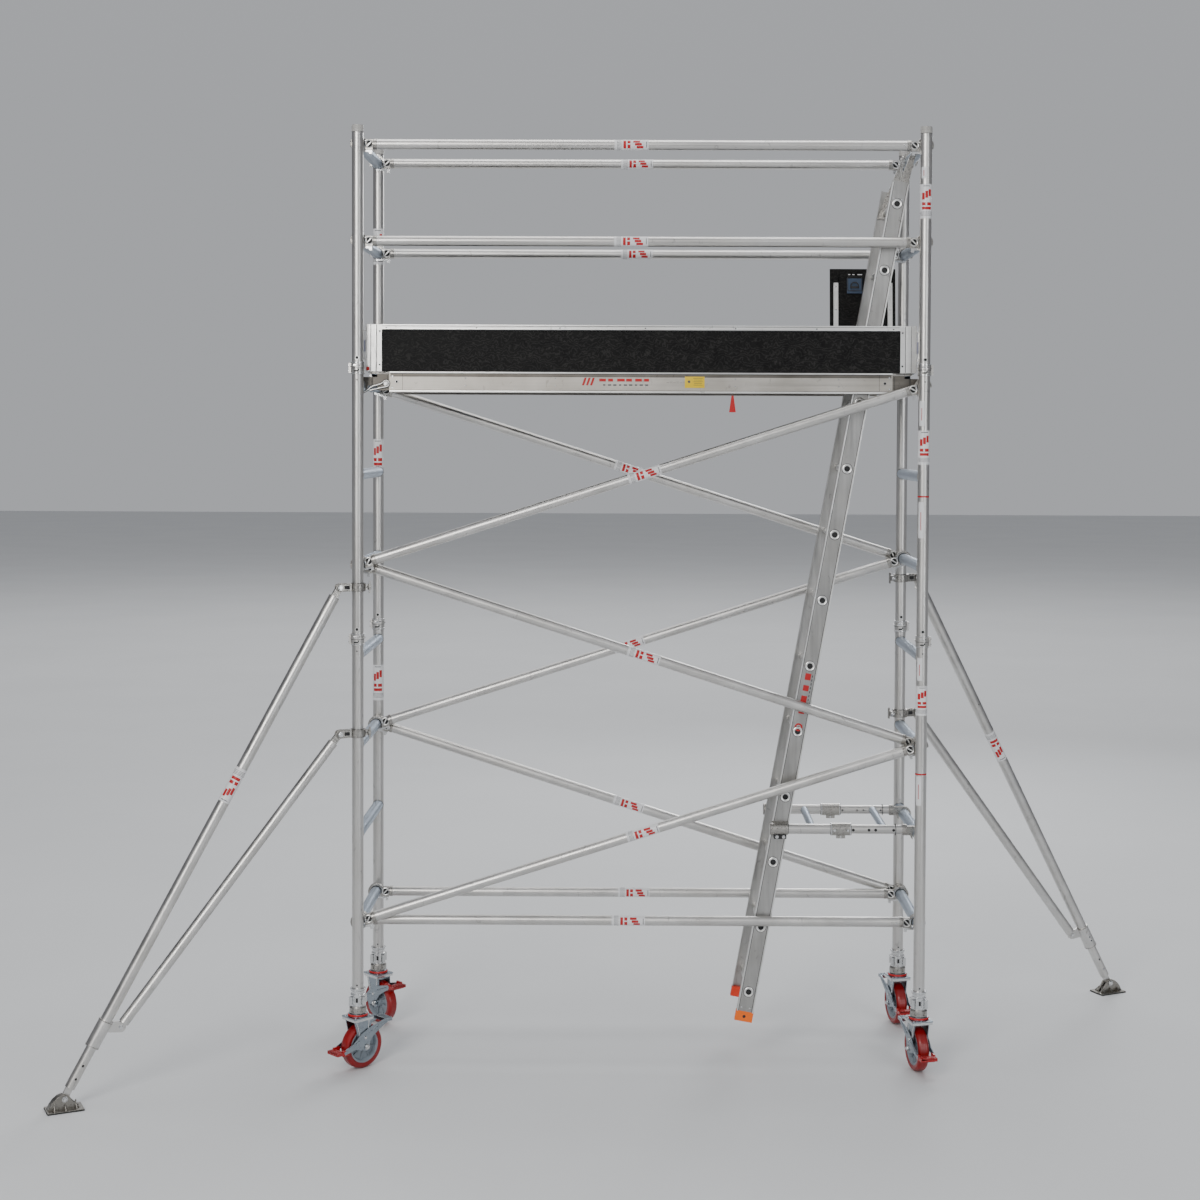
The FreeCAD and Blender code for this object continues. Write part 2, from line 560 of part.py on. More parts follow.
for k in range(LADDER_RUNGS):
    c = on_ladder(k * LADDER_PITCH)
    y0, y1 = LADDER_NEAR - half_thick, LADDER_FAR + half_thick
    rung = tube(Vector(c.x, y0 - 2, c.z), Vector(c.x, y1 + 2, c.z), LADDER_RUNG_OD, 2)
    for ya, yb in ((y0 - 2, y0), (y1, y1 + 2)):
        flare = disc_y(c.x, c.z, LADDER_RUNG_OD + 8, ya, yb)
        rung = rung.fuse(flare.cut(disc_y(c.x, c.z, LADDER_RUNG_OD - 4, ya, yb)))
    rungs.append(rung)
save("ladder_rungs", rungs)
save("ladder_feet", feet)

HOOK_PLATE = 14.0
hook_outer = RUNG_R + 13
for y, sy in ((LADDER_NEAR, -1), (LADDER_FAR, 1)):
    y_web = y - sy * (-half_thick + STILE_WALL)
    y0, y1 = sorted((y_web, y_web - sy * HOOK_PLATE))
    a = on_ladder(ladder_top - 130, -half_depth + STILE_WALL)
    b = on_ladder(ladder_top - 130, half_depth - STILE_WALL)
    c = on_ladder(ladder_top + 15, half_depth - STILE_WALL)
    tip = (HALF_BAY, TOP_RAIL_Z)
    arm = plate([(a.x, a.z), (b.x, b.z), (c.x, c.z), (tip[0] - RUNG_R - 6, tip[1] - 26),
                 (tip[0], tip[1]), (tip[0] - 12, tip[1] + hook_outer * 0.92),
                 (tip[0] - hook_outer, tip[1] + 12)], y0, y1)
    ring = disc_y(tip[0], tip[1], 2 * hook_outer, y0, y1)
    body = arm.fuse(ring).cut(disc_y(tip[0], tip[1], RUNG_OD, y0, y1))
    body = body.cut(box(tip[0] - RUNG_R, tip[0] + RUNG_R, y0, y1, tip[1] - 3 * RUNG_R, tip[1]))
    centre = on_ladder((LADDER_RUNGS - 1) * LADDER_PITCH)
    body = body.cut(disc_y(centre.x, centre.z, LADDER_RUNG_OD, y0 - 1, y1 + 1))
    top_hooks.append(body)
save("ladder_hooks", top_hooks)

# ---------------------------------------------------------------- ladder bracket
BRACKET_Z = BASE_LEVELS[1] + BRACKET_RISE
INNER_OD = BRACKET_OD - 2 * BRACKET_WALL - 2 * RUN_FIT
BRACKET_START = HALF_BAY - BRACKET_LENGTH
JOINT_X = HALF_BAY - BRACKET_JOINT
TUBE_END = HALF_BAY - BRACKET_TUBE_INSET
FERRULE = 20.0
PLUG = 30.0
BRACKET_ENDS = (LADDER_NEAR - half_thick - 5 - BRACKET_OD / 2,
                LADDER_FAR + half_thick + 5 + BRACKET_OD / 2)
outers, inners, clamps = [], [], []
for y, sy in zip(BRACKET_ENDS, (-1, 1)):
    outer = tube(Vector(BRACKET_START, y, BRACKET_Z), Vector(JOINT_X, y, BRACKET_Z),
                 BRACKET_OD, BRACKET_WALL)
    inner = tube(Vector(JOINT_X - 200, y, BRACKET_Z), Vector(TUBE_END, y, BRACKET_Z),
                 INNER_OD, BRACKET_WALL)
    for inset in BRACKET_HOLES:
        inner = inner.cut(disc_y(HALF_BAY - inset, BRACKET_Z, 9, y - 30, y + 30))
    outers.append(outer)
    inners.append(inner)
    grip = tube(Vector(JOINT_X - 45, y, BRACKET_Z), Vector(JOINT_X, y, BRACKET_Z), 56, 5.5)
    nose = tube(Vector(JOINT_X, y, BRACKET_Z), Vector(JOINT_X + 45, y, BRACKET_Z), 56,
                28 - INNER_OD / 2)
    lug = box(JOINT_X - 20, JOINT_X + 20, y - 10, y + 10, BRACKET_Z - 40, BRACKET_Z)
    lug = lug.cut(rod(Vector(JOINT_X - 50, y, BRACKET_Z), Vector(JOINT_X + 50, y, BRACKET_Z), 50))
    clamps.append(grip.fuse(nose).fuse(lug))
    half = 12
    ring = disc_y(HALF_BAY, BASE_LEVELS[1], 2 * (RUNG_R + 11), y - half, y + half)
    neck = box(TUBE_END, HALF_BAY, y - half, y + half, BASE_LEVELS[1] - 6, BRACKET_Z + 16)
    plug = rod(Vector(TUBE_END - PLUG, y, BRACKET_Z), Vector(TUBE_END, y, BRACKET_Z),
               INNER_OD - 2 * BRACKET_WALL - 0.2)
    ferrule = rod(Vector(TUBE_END, y, BRACKET_Z), Vector(TUBE_END + FERRULE, y, BRACKET_Z), 48)
    hook = ring.fuse(neck).fuse(ferrule).fuse(plug)
    hook = hook.cut(disc_y(HALF_BAY, BASE_LEVELS[1], RUNG_OD, y - half, y + half))
    hook = hook.cut(box(HALF_BAY - RUNG_R, HALF_BAY + RUNG_R, y - half, y + half,
                        BASE_LEVELS[1] - 3 * RUNG_R, BASE_LEVELS[1]))
    clamps.append(hook)
    y0, y1 = sorted((y - sy * BRACKET_OD / 2, y - sy * (BRACKET_OD / 2 + 5)))
    pad = box(BRACKET_START, BRACKET_START + 72, y0, y1, BRACKET_Z - 30, BRACKET_Z + 30)
    cap = rod(Vector(BRACKET_START - 8, y, BRACKET_Z), Vector(BRACKET_START, y, BRACKET_Z), 52)
    clamps.append(pad)
    clamps.append(cap)
cross = []
for inset in BRACKET_RUNGS:
    x = HALF_BAY - inset
    od = BRACKET_OD if x < JOINT_X else INNER_OD
    bar = tube(Vector(x, BRACKET_ENDS[0], BRACKET_Z), Vector(x, BRACKET_ENDS[1], BRACKET_Z),
               BRACKET_RUNG_OD, 2)
    for y in BRACKET_ENDS:
        bar = bar.cut(rod(Vector(x - 60, y, BRACKET_Z), Vector(x + 60, y, BRACKET_Z), od))
    cross.append(bar)
save("ladder_bracket_tubes", outers + inners + cross)
save("ladder_bracket_clamps", clamps)

# ---------------------------------------------------------------- outriggers
PIN_D = 12.0
TONGUE = 14.0
TUBE_START = 46.0         # tube end from its pin
TONGUE_REACH = 70.0
EAR = 6.0
MAIN_TOP = Vector(CLAMP_PIN, 0, CLAMP_HIGH)
MAIN_FOOT = Vector(OUTRIGGER_REACH, 0, FOOT_PIN_Z)
MAIN_RUN = (MAIN_FOOT - MAIN_TOP).Length
ALONG = (MAIN_FOOT - MAIN_TOP).normalize()
INWARD = Vector(ALONG.z, 0, -ALONG.x)
SLEEVE_OD = OUTER_OD + 10
SLEEVE_START = 0.855 * MAIN_RUN
OUTER_END = 0.905 * MAIN_RUN
LEG_OD = OUTER_OD - 2 * OUTER_WALL - 2 * RUN_FIT
LEG_INSIDE = 700.0
STRUT_TOP = Vector(CLAMP_PIN, 0, CLAMP_LOW)
STRUT_END = MAIN_TOP + ALONG * SLEEVE_START + INWARD * BRACKET_OFFSET


def outrigger_clamp(z):
    """Half coupler round the standard with a forked lug and a wing nut."""
    half = 18
    body = rod(Vector(0, 0, z - half), Vector(0, 0, z + half), 2 * (TUBE_R + 9))
    body = body.fuse(box(20, CLAMP_PIN, -TONGUE / 2 - EAR, TONGUE / 2 + EAR, z - half, z + half))
    body = body.fuse(disc_y(CLAMP_PIN, z, 2 * half, -TONGUE / 2 - EAR, TONGUE / 2 + EAR))
    body = body.fuse(box(-58, -20, -13, 13, z - 12, z + 12))
    body = body.cut(box(48, 140, -TONGUE / 2, TONGUE / 2, z - 40, z + 40))
    body = body.cut(box(-80, -20, -2, 2, z - 40, z + 40))
    body = body.cut(rod(Vector(0, 0, z - 40), Vector(0, 0, z + 40), TUBE_OD + 2 * BODY_GAP))
    pin = disc_y(CLAMP_PIN, z, PIN_D, -TONGUE / 2 - EAR - 8, TONGUE / 2 + EAR + 8)
    wing = box(-54, -42, 13, 21, z - 6, z + 6).fuse(box(-51, -45, 17, 25, z - 26, z + 26))
    return body.cut(pin), pin, wing


def tongue(pin, direction, bore, hole):
    """Flat eye on a pin, with a plug that fills the end of its tube."""
    end = pin + direction * TONGUE_REACH
    bar = bar_y((pin.x, pin.z), (end.x, end.z), 30, -TONGUE / 2, TONGUE / 2)
    plug = rod(pin + direction * TUBE_START, end, bore - 2 * RUN_FIT)
    return bar.fuse(plug).cut(disc_y(pin.x, pin.z, hole, -30, 30))


def outrigger():
    """Solids of one outrigger, reaching along +X from a standard at the origin."""
    frame = []
    for z in (CLAMP_HIGH, CLAMP_LOW):
        frame += list(outrigger_clamp(z))
    main = tube(MAIN_TOP + ALONG * TUBE_START, MAIN_TOP + ALONG * OUTER_END,
                OUTER_OD, OUTER_WALL)
    strut_run = (STRUT_END - STRUT_TOP).normalize()
    strut = tube(STRUT_TOP + strut_run * TUBE_START, STRUT_END - strut_run * 20,
                 STRUT_OD, BRACE_WALL)
    top_tongue = tongue(MAIN_TOP, ALONG, OUTER_OD - 2 * OUTER_WALL, PIN_D)
    low_tongue = tongue(STRUT_TOP, strut_run, STRUT_OD - 2 * BRACE_WALL, PIN_D)
    sleeve = tube(MAIN_TOP + ALONG * SLEEVE_START, MAIN_TOP + ALONG * OUTER_END, SLEEVE_OD,
                  (SLEEVE_OD - OUTER_OD) / 2)
    root = MAIN_TOP + ALONG * (SLEEVE_START + 30)
    link = bar_y((root.x, root.z), (STRUT_END.x, STRUT_END.z), 44, -TONGUE / 2, TONGUE / 2)
    link = link.cut(rod(MAIN_TOP, MAIN_FOOT, SLEEVE_OD))
    link = max(link.Solids, key=lambda s: s.Volume)
    strut = strut.cut(link)
    face = SLEEVE_OD / 2
    button = rod(root + Vector(0, -face - 4, 0), root + Vector(0, -face, 0), 16)
    frame += [main, strut, top_tongue, low_tongue, sleeve, link, button]
    leg = tube(MAIN_TOP + ALONG * (MAIN_RUN - LEG_INSIDE), MAIN_FOOT - ALONG * TUBE_START,
               LEG_OD, OUTER_WALL)
    for k in range(2):
        hole = MAIN_FOOT - ALONG * (90 + 60 * k)
        leg = leg.cut(disc_y(hole.x, hole.z, 10, -40, 40))
    foot_tongue = tongue(MAIN_FOOT, ALONG * -1, LEG_OD - 2 * OUTER_WALL, PIN_D + 2 * RUN_FIT)
    x, z = MAIN_FOOT.x, MAIN_FOOT.z
    sole = box(x - FOOT_LENGTH / 2, x + FOOT_LENGTH / 2, -FOOT_WIDTH / 2, FOOT_WIDTH / 2,
               0, FOOT_THICK)
    cheeks = []
    for sy in (-1, 1):
        y0, y1 = sorted((sy * (TONGUE / 2 + SIDE_GAP), sy * (TONGUE / 2 + SIDE_GAP + EAR)))
        cheek = plate([(x - 56, FOOT_THICK), (x + 56, FOOT_THICK), (x + 15, z + 6),
                       (x - 15, z + 6)], y0, y1)
        cheeks.append(cheek.fuse(disc_y(x, z, 34, y0, y1)))
    edge = TONGUE / 2 + SIDE_GAP + EAR
    pin = disc_y(x, z, PIN_D, -edge - 8, edge + 8)
    foot = sole.fuse(cheeks[0]).fuse(cheeks[1]).fuse(pin)
    return frame, [leg, foot_tongue], [foot]


for name, turn, sx, sy in (("front", 180 + OUTRIGGER_TURN, -1, -1), ("back", OUTRIGGER_TURN, 1, 1)):
    groups = outrigger()
    for node, solids in zip(("frame", "leg", "foot"), groups):
        placed = [moved(turned(s, turn, Z_AXIS), sx * HALF_BAY, sy * HALF_WIDTH, 0)
                  for s in solids]
        save(f"outrigger_{node}_{name}", placed)

# ---------------------------------------------------------------- castors
LEG_INNER = WHEEL_WIDTH / 2 + 6
LEG_THICK = 4.0
ROCKER_PIVOT = (-12.0, WHEEL_R + 43.0)
ROCKER_LOW = (WHEEL_R - TRAIL + 25.0, WHEEL_R - 8.0)
ROCKER_HIGH = (-WHEEL_R - TRAIL - 10.0, WHEEL_OD - 5.0)
ROCKER_THICK = 3.0
PAD_LENGTH = 34.0


def ring_y(profile, x, z):
    """Revolve (r, y) points about a Y axis through (x, z)."""
    points = [Vector(r, y, 0) for r, y in profile]
    face = Part.Face(Part.makePolygon(points + points[:1]))
    solid = face.revolve(Vector(0, 0, 0), Y_AXIS, 360)
    return moved(solid, x, 0, z)


def wheel():
    half = WHEEL_WIDTH / 2
    edge, rim = WHEEL_R, HUB_OD / 2
    x, z = -TRAIL, WHEEL_R
    tyre = ring_y([(rim, -half + 3), (edge - 10, -half), (edge - 3, -half + 5), (edge, -half + 12),
                   (edge, half - 12), (edge - 3, half - 5), (edge - 10, half), (rim, half - 3)],
                  x, z)
    boss = LEG_INNER - SIDE_GAP
    bore_r = AXLE_D / 2 + RUN_FIT
    hub = ring_y([(bore_r, -boss), (20, -boss), (24, -8), (rim - 14, -5), (rim - 8, -half + 4),
                  (rim, -half + 4), (rim, half - 4), (rim - 8, half - 4), (rim - 14, 5),
                  (24, 8), (20, boss), (bore_r, boss)], x, z)
    return [tyre, hub]


def fork():
    top = box(-53, 53, -48, 48, FORK_TOP - FORK_PLATE, FORK_TOP)
    body = top
    axle_x, axle_z = -TRAIL, WHEEL_R
    for sy in (-1, 1):
        y0, y1 = sorted((sy * LEG_INNER, sy * (LEG_INNER + LEG_THICK)))
        leg = plate([(-46, FORK_TOP - FORK_PLATE), (46, FORK_TOP - FORK_PLATE),
                     (26, axle_z + 50), (axle_x + 20, axle_z), (axle_x - 20, axle_z),
                     (-48, axle_z + 90)], y0, y1)
        body = body.fuse(leg.fuse(disc_y(axle_x, axle_z, 40, y0, y1)))
    race = rod(Vector(0, 0, FORK_TOP), Vector(0, 0, HEAD_BASE), 84)
    king = rod(Vector(0, 0, FORK_TOP), Vector(0, 0, HEAD_TOP - 8), 14)
    outer = LEG_INNER + LEG_THICK
    axle = disc_y(axle_x, axle_z, AXLE_D, -outer, outer)
    for sy in (-1, 1):
        y0, y1 = sorted((sy * outer, sy * (outer + 7)))
        axle = axle.fuse(disc_y(axle_x, axle_z, 20, y0, y1))
        pivot_y0, pivot_y1 = sorted((sy * outer, sy * (outer + ROCKER_THICK + 2 * SIDE_GAP)))
        body = body.fuse(disc_y(ROCKER_PIVOT[0], ROCKER_PIVOT[1], 10, pivot_y0, pivot_y1))
    body = body.cut(disc_y(axle_x, axle_z, AXLE_D, -outer, outer))
    return [body, race.fuse(king), axle]


def rocker():
    """Brake rocker: side arms outside the fork, a pedal at each end."""
    base = LEG_INNER + LEG_THICK + SIDE_GAP
    body = None
    for sy in (-1, 1):
        y0, y1 = sorted((sy * base, sy * (base + ROCKER_THICK)))
        arm = bar_y(ROCKER_HIGH, ROCKER_LOW, 20, y0, y1)
        arm = arm.cut(disc_y(ROCKER_PIVOT[0], ROCKER_PIVOT[1], 10 + 2 * RUN_FIT, y0, y1))
        body = arm if body is None else body.fuse(arm)
    reach = base + ROCKER_THICK
    for x, z in (ROCKER_LOW, ROCKER_HIGH):
        away = 1 if x > 0 else -1
        x0, x1 = sorted((x - away * 4, x + away * PAD_LENGTH))
        body = body.fuse(box(x0, x1, -reach, reach, z - 6, z + 8))
    return [body]


def head():
    """Cast head of the castor stem, round the king pin."""
    body = revolve_z([(0, HEAD_BASE), (36, HEAD_BASE), (38, HEAD_BASE + 4), (38, HEAD_TOP - 6),
                      (34, HEAD_TOP), (0, HEAD_TOP)])
    for k in range(6):
        slot = box(33, 45, -6, 6, HEAD_BASE + 9, HEAD_TOP - 9)
        body = body.cut(turned(slot, 60 * k, Z_AXIS))
    return body.cut(rod(Vector(0, 0, HEAD_BASE), Vector(0, 0, HEAD_TOP - 7), 14 + 2 * RUN_FIT))


def adjuster_nut():
    """Lugged nut under the standard, a sliding fit on the stem."""
    top = TUBE_FOOT_Z
    waist, seat = TUBE_R + 3.1, TUBE_R + 8.6
    body = revolve_z([(0, HEAD_TOP), (waist + 3.5, HEAD_TOP), (waist + 3.5, top - 25),
                      (waist, top - 22), (waist, top - 8), (seat, top - 5), (seat, top), (0, top)])
    for k in range(4):
        lug = box(waist - 2.5, waist + 16.5, -7, 7, HEAD_TOP + 6, top - 32)
        body = body.fuse(turned(lug, 45 + 90 * k, Z_AXIS))
    return body.cut(rod(Vector(0, 0, HEAD_TOP - 1), Vector(0, 0, top + 1),
                        STEM_OD + 2 * RUN_FIT))


nuts = []
for corner, (sx, sy) in CORNERS.items():
    x, y = sx * HALF_BAY, sy * HALF_WIDTH
    stem = tube(Vector(0, 0, HEAD_TOP), Vector(0, 0, STEM_TOP), STEM_OD, 4)
    save(f"castor_stem_{corner}", [moved(stem, x, y, 0), moved(head(), x, y, 0)])
    nuts.append(moved(adjuster_nut(), x, y, 0))
    for node, solids in (("fork", fork()), ("wheel", wheel()), ("brake", rocker())):
        placed = [moved(turned(s, HEADINGS[corner], Z_AXIS), x, y, 0) for s in solids]
        save(f"castor_{node}_{corner}", placed)
save("adjuster_nuts", nuts)
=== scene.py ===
import bpy, bmesh, math
from mathutils import Matrix, Vector


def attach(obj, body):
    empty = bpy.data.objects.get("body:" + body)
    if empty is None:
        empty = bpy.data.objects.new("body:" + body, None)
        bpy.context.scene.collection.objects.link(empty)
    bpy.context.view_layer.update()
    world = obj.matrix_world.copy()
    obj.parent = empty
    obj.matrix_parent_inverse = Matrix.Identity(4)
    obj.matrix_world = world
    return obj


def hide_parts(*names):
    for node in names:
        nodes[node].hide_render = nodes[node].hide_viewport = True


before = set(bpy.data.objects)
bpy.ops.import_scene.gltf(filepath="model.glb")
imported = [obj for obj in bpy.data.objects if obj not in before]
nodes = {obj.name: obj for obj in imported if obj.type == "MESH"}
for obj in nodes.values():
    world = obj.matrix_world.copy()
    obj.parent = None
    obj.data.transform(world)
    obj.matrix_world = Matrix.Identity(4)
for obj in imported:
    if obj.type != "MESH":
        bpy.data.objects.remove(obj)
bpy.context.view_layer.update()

V = Vector
X, Y, Z = V((1, 0, 0)), V((0, 1, 0)), V((0, 0, 1))
FULL = 2 * math.pi
WRAP = FULL - 0.02  # a label's angle round a tube, just short of meeting itself

# ------------------------------------------------------------- sizes (metres)
HB, HW = 1.25, 0.35
TUBE_R = 0.0254
RUNG_R = 0.024
BRACE_R = 0.0225
LEVELS = [0.65, 1.05, 1.45, 1.85, 2.25, 2.65, 3.05, 3.685, 4.11]
JOINTS = [1.921, 3.121]
CORNERS = {"fl": (-1, -1), "fr": (1, -1), "bl": (-1, 1), "br": (1, 1)}
HEADINGS = {"fl": 225.0, "fr": 282.0, "bl": 135.0, "br": 282.0}
CLAW_Y, CLAW_Y2 = 0.310, 0.270
DECK_Z, TOE_Z, BEAM_Z = 3.109, 3.317, 3.017
BEAM_Y, TOE_Y = 0.284, 0.297
TILT = math.radians(10.22)
UP = V((math.sin(TILT), 0, math.cos(TILT)))
OUT = V((UP.z, 0, -UP.x))
RUNG0 = V((0.499, 0, 0.321))


# ------------------------------------------------------------- materials
def new_material(name):
    m = bpy.data.materials.new(name)
    m.use_nodes = True
    t = m.node_tree
    t.nodes.clear()
    out = t.nodes.new("ShaderNodeOutputMaterial")
    b = t.nodes.new("ShaderNodeBsdfPrincipled")
    t.links.new(b.outputs[0], out.inputs[0])
    return m, t, b


def noise_at(t, coord, stretch, scale, detail=4.0, rough=0.55, distort=0.0):
    mp = t.nodes.new("ShaderNodeMapping")
    mp.inputs["Scale"].default_value = stretch
    t.links.new(coord, mp.inputs[0])
    n = t.nodes.new("ShaderNodeTexNoise")
    n.inputs["Scale"].default_value = scale
    n.inputs["Detail"].default_value = detail
    n.inputs["Roughness"].default_value = rough
    n.inputs["Distortion"].default_value = distort
    t.links.new(mp.outputs[0], n.inputs[0])
    return n.outputs["Fac"]


def ramp(t, fac, stops):
    r = t.nodes.new("ShaderNodeValToRGB")
    els = r.color_ramp.elements
    while len(els) < len(stops):
        els.new(0.5)
    for e, (p, c) in zip(els, stops):
        e.position = p
        e.color = (*c, 1) if len(c) == 3 else c
    t.links.new(fac, r.inputs[0])
    return r.outputs[0]


def spread(t, fac, lo, hi, low=0.3, high=0.7):
    m = t.nodes.new("ShaderNodeMapRange")
    m.inputs["From Min"].default_value = low
    m.inputs["From Max"].default_value = high
    m.inputs["To Min"].default_value = lo
    m.inputs["To Max"].default_value = hi
    t.links.new(fac, m.inputs[0])
    return m.outputs[0]


def multiply(t, a, b, fac=1.0):
    m = t.nodes.new("ShaderNodeMix")
    m.data_type = "RGBA"
    m.blend_type = "MULTIPLY"
    m.inputs["Factor"].default_value = fac
    t.links.new(a, m.inputs[6])
    t.links.new(b, m.inputs[7])
    return m.outputs[2]


def relief(t, b, height, strength, distance, edge=0.0):
    bump = t.nodes.new("ShaderNodeBump")
    bump.inputs["Strength"].default_value = strength
    bump.inputs["Distance"].default_value = distance
    t.links.new(height, bump.inputs["Height"])
    if edge:
        bev = t.nodes.new("ShaderNodeBevel")
        bev.samples = 4
        bev.inputs["Radius"].default_value = edge
        t.links.new(bev.outputs[0], bump.inputs["Normal"])
    t.links.new(bump.outputs[0], b.inputs["Normal"])


def coords(t):
    return t.nodes.new("ShaderNodeTexCoord").outputs["Object"]


def metal(name, colour, stretch=(60, 60, 60), rough=(0.3, 0.45), tint=0.9, patch=0.94,
          grain=0.06, edge=0.0, metallic=1.0, smudge=0.75):
    """Mill or plated metal: drawn streaks, slow patches of oxide, a few dark scuffs."""
    m, t, b = new_material(name)
    co = coords(t)
    streak = noise_at(t, co, stretch, 1.0, 6, 0.6)
    slow = noise_at(t, co, (1, 1, 1), 5.0, 3)
    scuff = noise_at(t, co, (1, 1, 0.5), 34.0, 5, 0.6, 1.2)
    dark = [c * tint for c in colour]
    col = ramp(t, streak, [(0.3, dark), (0.7, colour)])
    warm = ramp(t, slow, [(0.35, (patch, patch * 0.99, patch * 0.97)), (0.65, (1, 1, 1))])
    marks = ramp(t, scuff, [(0.30, (smudge, smudge, smudge)), (0.38, (1, 1, 1))])
    t.links.new(multiply(t, multiply(t, col, warm), marks), b.inputs["Base Color"])
    t.links.new(spread(t, streak, rough[0], rough[1]), b.inputs["Roughness"])
    b.inputs["Metallic"].default_value = metallic
    relief(t, b, streak, grain, 0.002, edge)
    return m


def plastic(name, colour, rough=(0.35, 0.5), shade=0.88, scale=120.0, grain=0.12, edge=0.0,
            coat=0.0, spec=0.5):
    m, t, b = new_material(name)
    co = coords(t)
    fine = noise_at(t, co, (1, 1, 1), scale, 4)
    slow = noise_at(t, co, (1, 1, 1), 9.0, 3)
    dark = [c * shade for c in colour]
    t.links.new(ramp(t, slow, [(0.35, dark), (0.65, colour)]), b.inputs["Base Color"])
    t.links.new(spread(t, fine, rough[0], rough[1]), b.inputs["Roughness"])
    b.inputs["Coat Weight"].default_value = coat
    b.inputs["Specular IOR Level"].default_value = spec
    relief(t, b, fine, grain, 0.0006, edge)
    return m


ALU = (0.70, 0.69, 0.675)
M = {}
M["alu_z"] = metal("alu_drawn_z", ALU, (70, 70, 1.6), (0.30, 0.44), 0.80, grain=0.10)
M["alu_x"] = metal("alu_drawn_x", ALU, (1.6, 70, 70), (0.30, 0.44), 0.80, grain=0.10)
# rungs across the bay: drawn aluminium whose blue-grey is painted shade and painted reflection of
# a blue surround
M["alu_y"] = metal("alu_drawn_y", (0.36, 0.42, 0.50), (70, 1.6, 70), (0.30, 0.42))
M["alu_any"] = metal("alu_drawn", ALU, (9, 9, 14), (0.30, 0.44), 0.84)
M["alu_sheet"] = metal("alu_extrusion", (0.57, 0.54, 0.495), (2.0, 90, 90), (0.36, 0.50), 0.86,
                       0.80, edge=0.0008)
M["cast"] = metal("alu_cast", (0.50, 0.485, 0.46), (120, 120, 120), (0.22, 0.40), 0.66,
                  grain=0.3, edge=0.0018)
M["cast_dark"] = metal("alu_cast_foot", (0.33, 0.315, 0.29), (120, 120, 120), (0.24, 0.38), 0.8,
                       grain=0.3, edge=0.002)
M["zinc"] = metal("zinc_plate", (0.36, 0.41, 0.46), (35, 35, 35), (0.22, 0.38), 0.88,
                  edge=0.0012)
M["steel"] = metal("bright_steel", (0.74, 0.75, 0.76), (80, 80, 80), (0.16, 0.3), 0.9)
# darker aluminium that stands for shade: painted shadow band on the beams, painted shade on the
# platform's end castings
M["band"] = metal("alu_extrusion_band", (0.21, 0.195, 0.175), (2.0, 90, 90), (0.42, 0.56),
                  0.72, 0.7)
M["stile"] = metal("alu_stile", (0.50, 0.495, 0.485), (50, 50, 4), (0.30, 0.44), 0.80, 0.86)
M["white_alu"] = metal("alu_bright", (0.80, 0.80, 0.79), (3, 80, 80), (0.30, 0.42), 0.94)
# near-black: the colour of dark joints, and painted shade where it fills holes, slots, bores and
# gaps
M["dark"] = plastic("dark_recess", (0.012, 0.012, 0.013), (0.6, 0.8))
M["black"] = plastic("black_plastic", (0.02, 0.02, 0.022), (0.4, 0.55))
M["red_paint"] = plastic("red_paint", (0.40, 0.002, 0.003), (0.20, 0.32), coat=0.4,
                         edge=0.0022)
M["red_tyre"] = plastic("red_polyurethane", (0.29, 0.001, 0.002), (0.28, 0.42), 0.75,
                        coat=0.15)
M["red_seal"] = plastic("red_seal", (0.52, 0.004, 0.006), (0.4, 0.5))
M["hub"] = plastic("hub_grey", (0.26, 0.30, 0.34), (0.35, 0.5), edge=0.002)
M["orange"] = plastic("orange_rubber", (1.0, 0.17, 0.001), (0.45, 0.6), edge=0.003)
M["vermilion"] = plastic("vermilion_rubber", (0.72, 0.035, 0.004), (0.45, 0.6), edge=0.003)
M["label"] = plastic("label_white", (0.80, 0.80, 0.81), (0.3, 0.42), 0.94, grain=0.03)
M["mark"] = plastic("mark_red", (0.50, 0.006, 0.008), (0.35, 0.5), grain=0.03)
M["mark_grey"] = plastic("mark_grey", (0.08, 0.08, 0.085), (0.4, 0.55), grain=0.03)
M["yellow"] = plastic("label_yellow", (0.80, 0.55, 0.002), (0.3, 0.42), grain=0.03)
M["grey_text"] = plastic("label_fine_grey", (0.35, 0.33, 0.30), (0.4, 0.55), grain=0.03)
M["latch"] = plastic("latch_blue", (0.038, 0.068, 0.125), (0.35, 0.5), edge=0.003)
# blue-grey that stands for shade and a reflected blue surround: painted shade and painted
# reflection on the toe boards' end lugs
M["lilac"] = plastic("lilac_plastic", (0.34, 0.35, 0.46), (0.35, 0.5), edge=0.002)
M["cap"] = plastic("cap_grey", (0.46, 0.45, 0.43), (0.4, 0.5), edge=0.002)
M["rubber"] = plastic("black_rubber", (0.018, 0.018, 0.017), (0.6, 0.75), grain=0.3)


def film_ply(name):
    """Black film-faced board with faint swirls in the film and a fine mesh press."""
    m, t, b = new_material(name)
    co = coords(t)
    swirl = noise_at(t, co, (1, 1, 1), 9.0, 6, 0.62, 3.0)
    fine = noise_at(t, co, (1, 1, 1), 260.0, 3)
    w = t.nodes.new("ShaderNodeTexWave")
    w.wave_type = "RINGS"
    w.inputs["Scale"].default_value = 17.0
    w.inputs["Distortion"].default_value = 22.0
    w.inputs["Detail"].default_value = 5.0
    w.inputs["Detail Scale"].default_value = 1.4
    t.links.new(co, w.inputs[0])
    lines = ramp(t, w.outputs["Fac"], [(0.60, (1, 1, 1)), (0.97, (2.3, 2.25, 2.2))])
    tone = ramp(t, swirl, [(0.32, (0.0050, 0.0050, 0.0051)), (0.66, (0.0125, 0.0123, 0.0120))])
    t.links.new(multiply(t, tone, lines), b.inputs["Base Color"])
    t.links.new(spread(t, swirl, 0.42, 0.60), b.inputs["Roughness"])
    b.inputs["Specular IOR Level"].default_value = 0.10
    relief(t, b, fine, 0.25, 0.0006, 0.0006)
    return m


M["film"] = film_ply("film_faced_board")


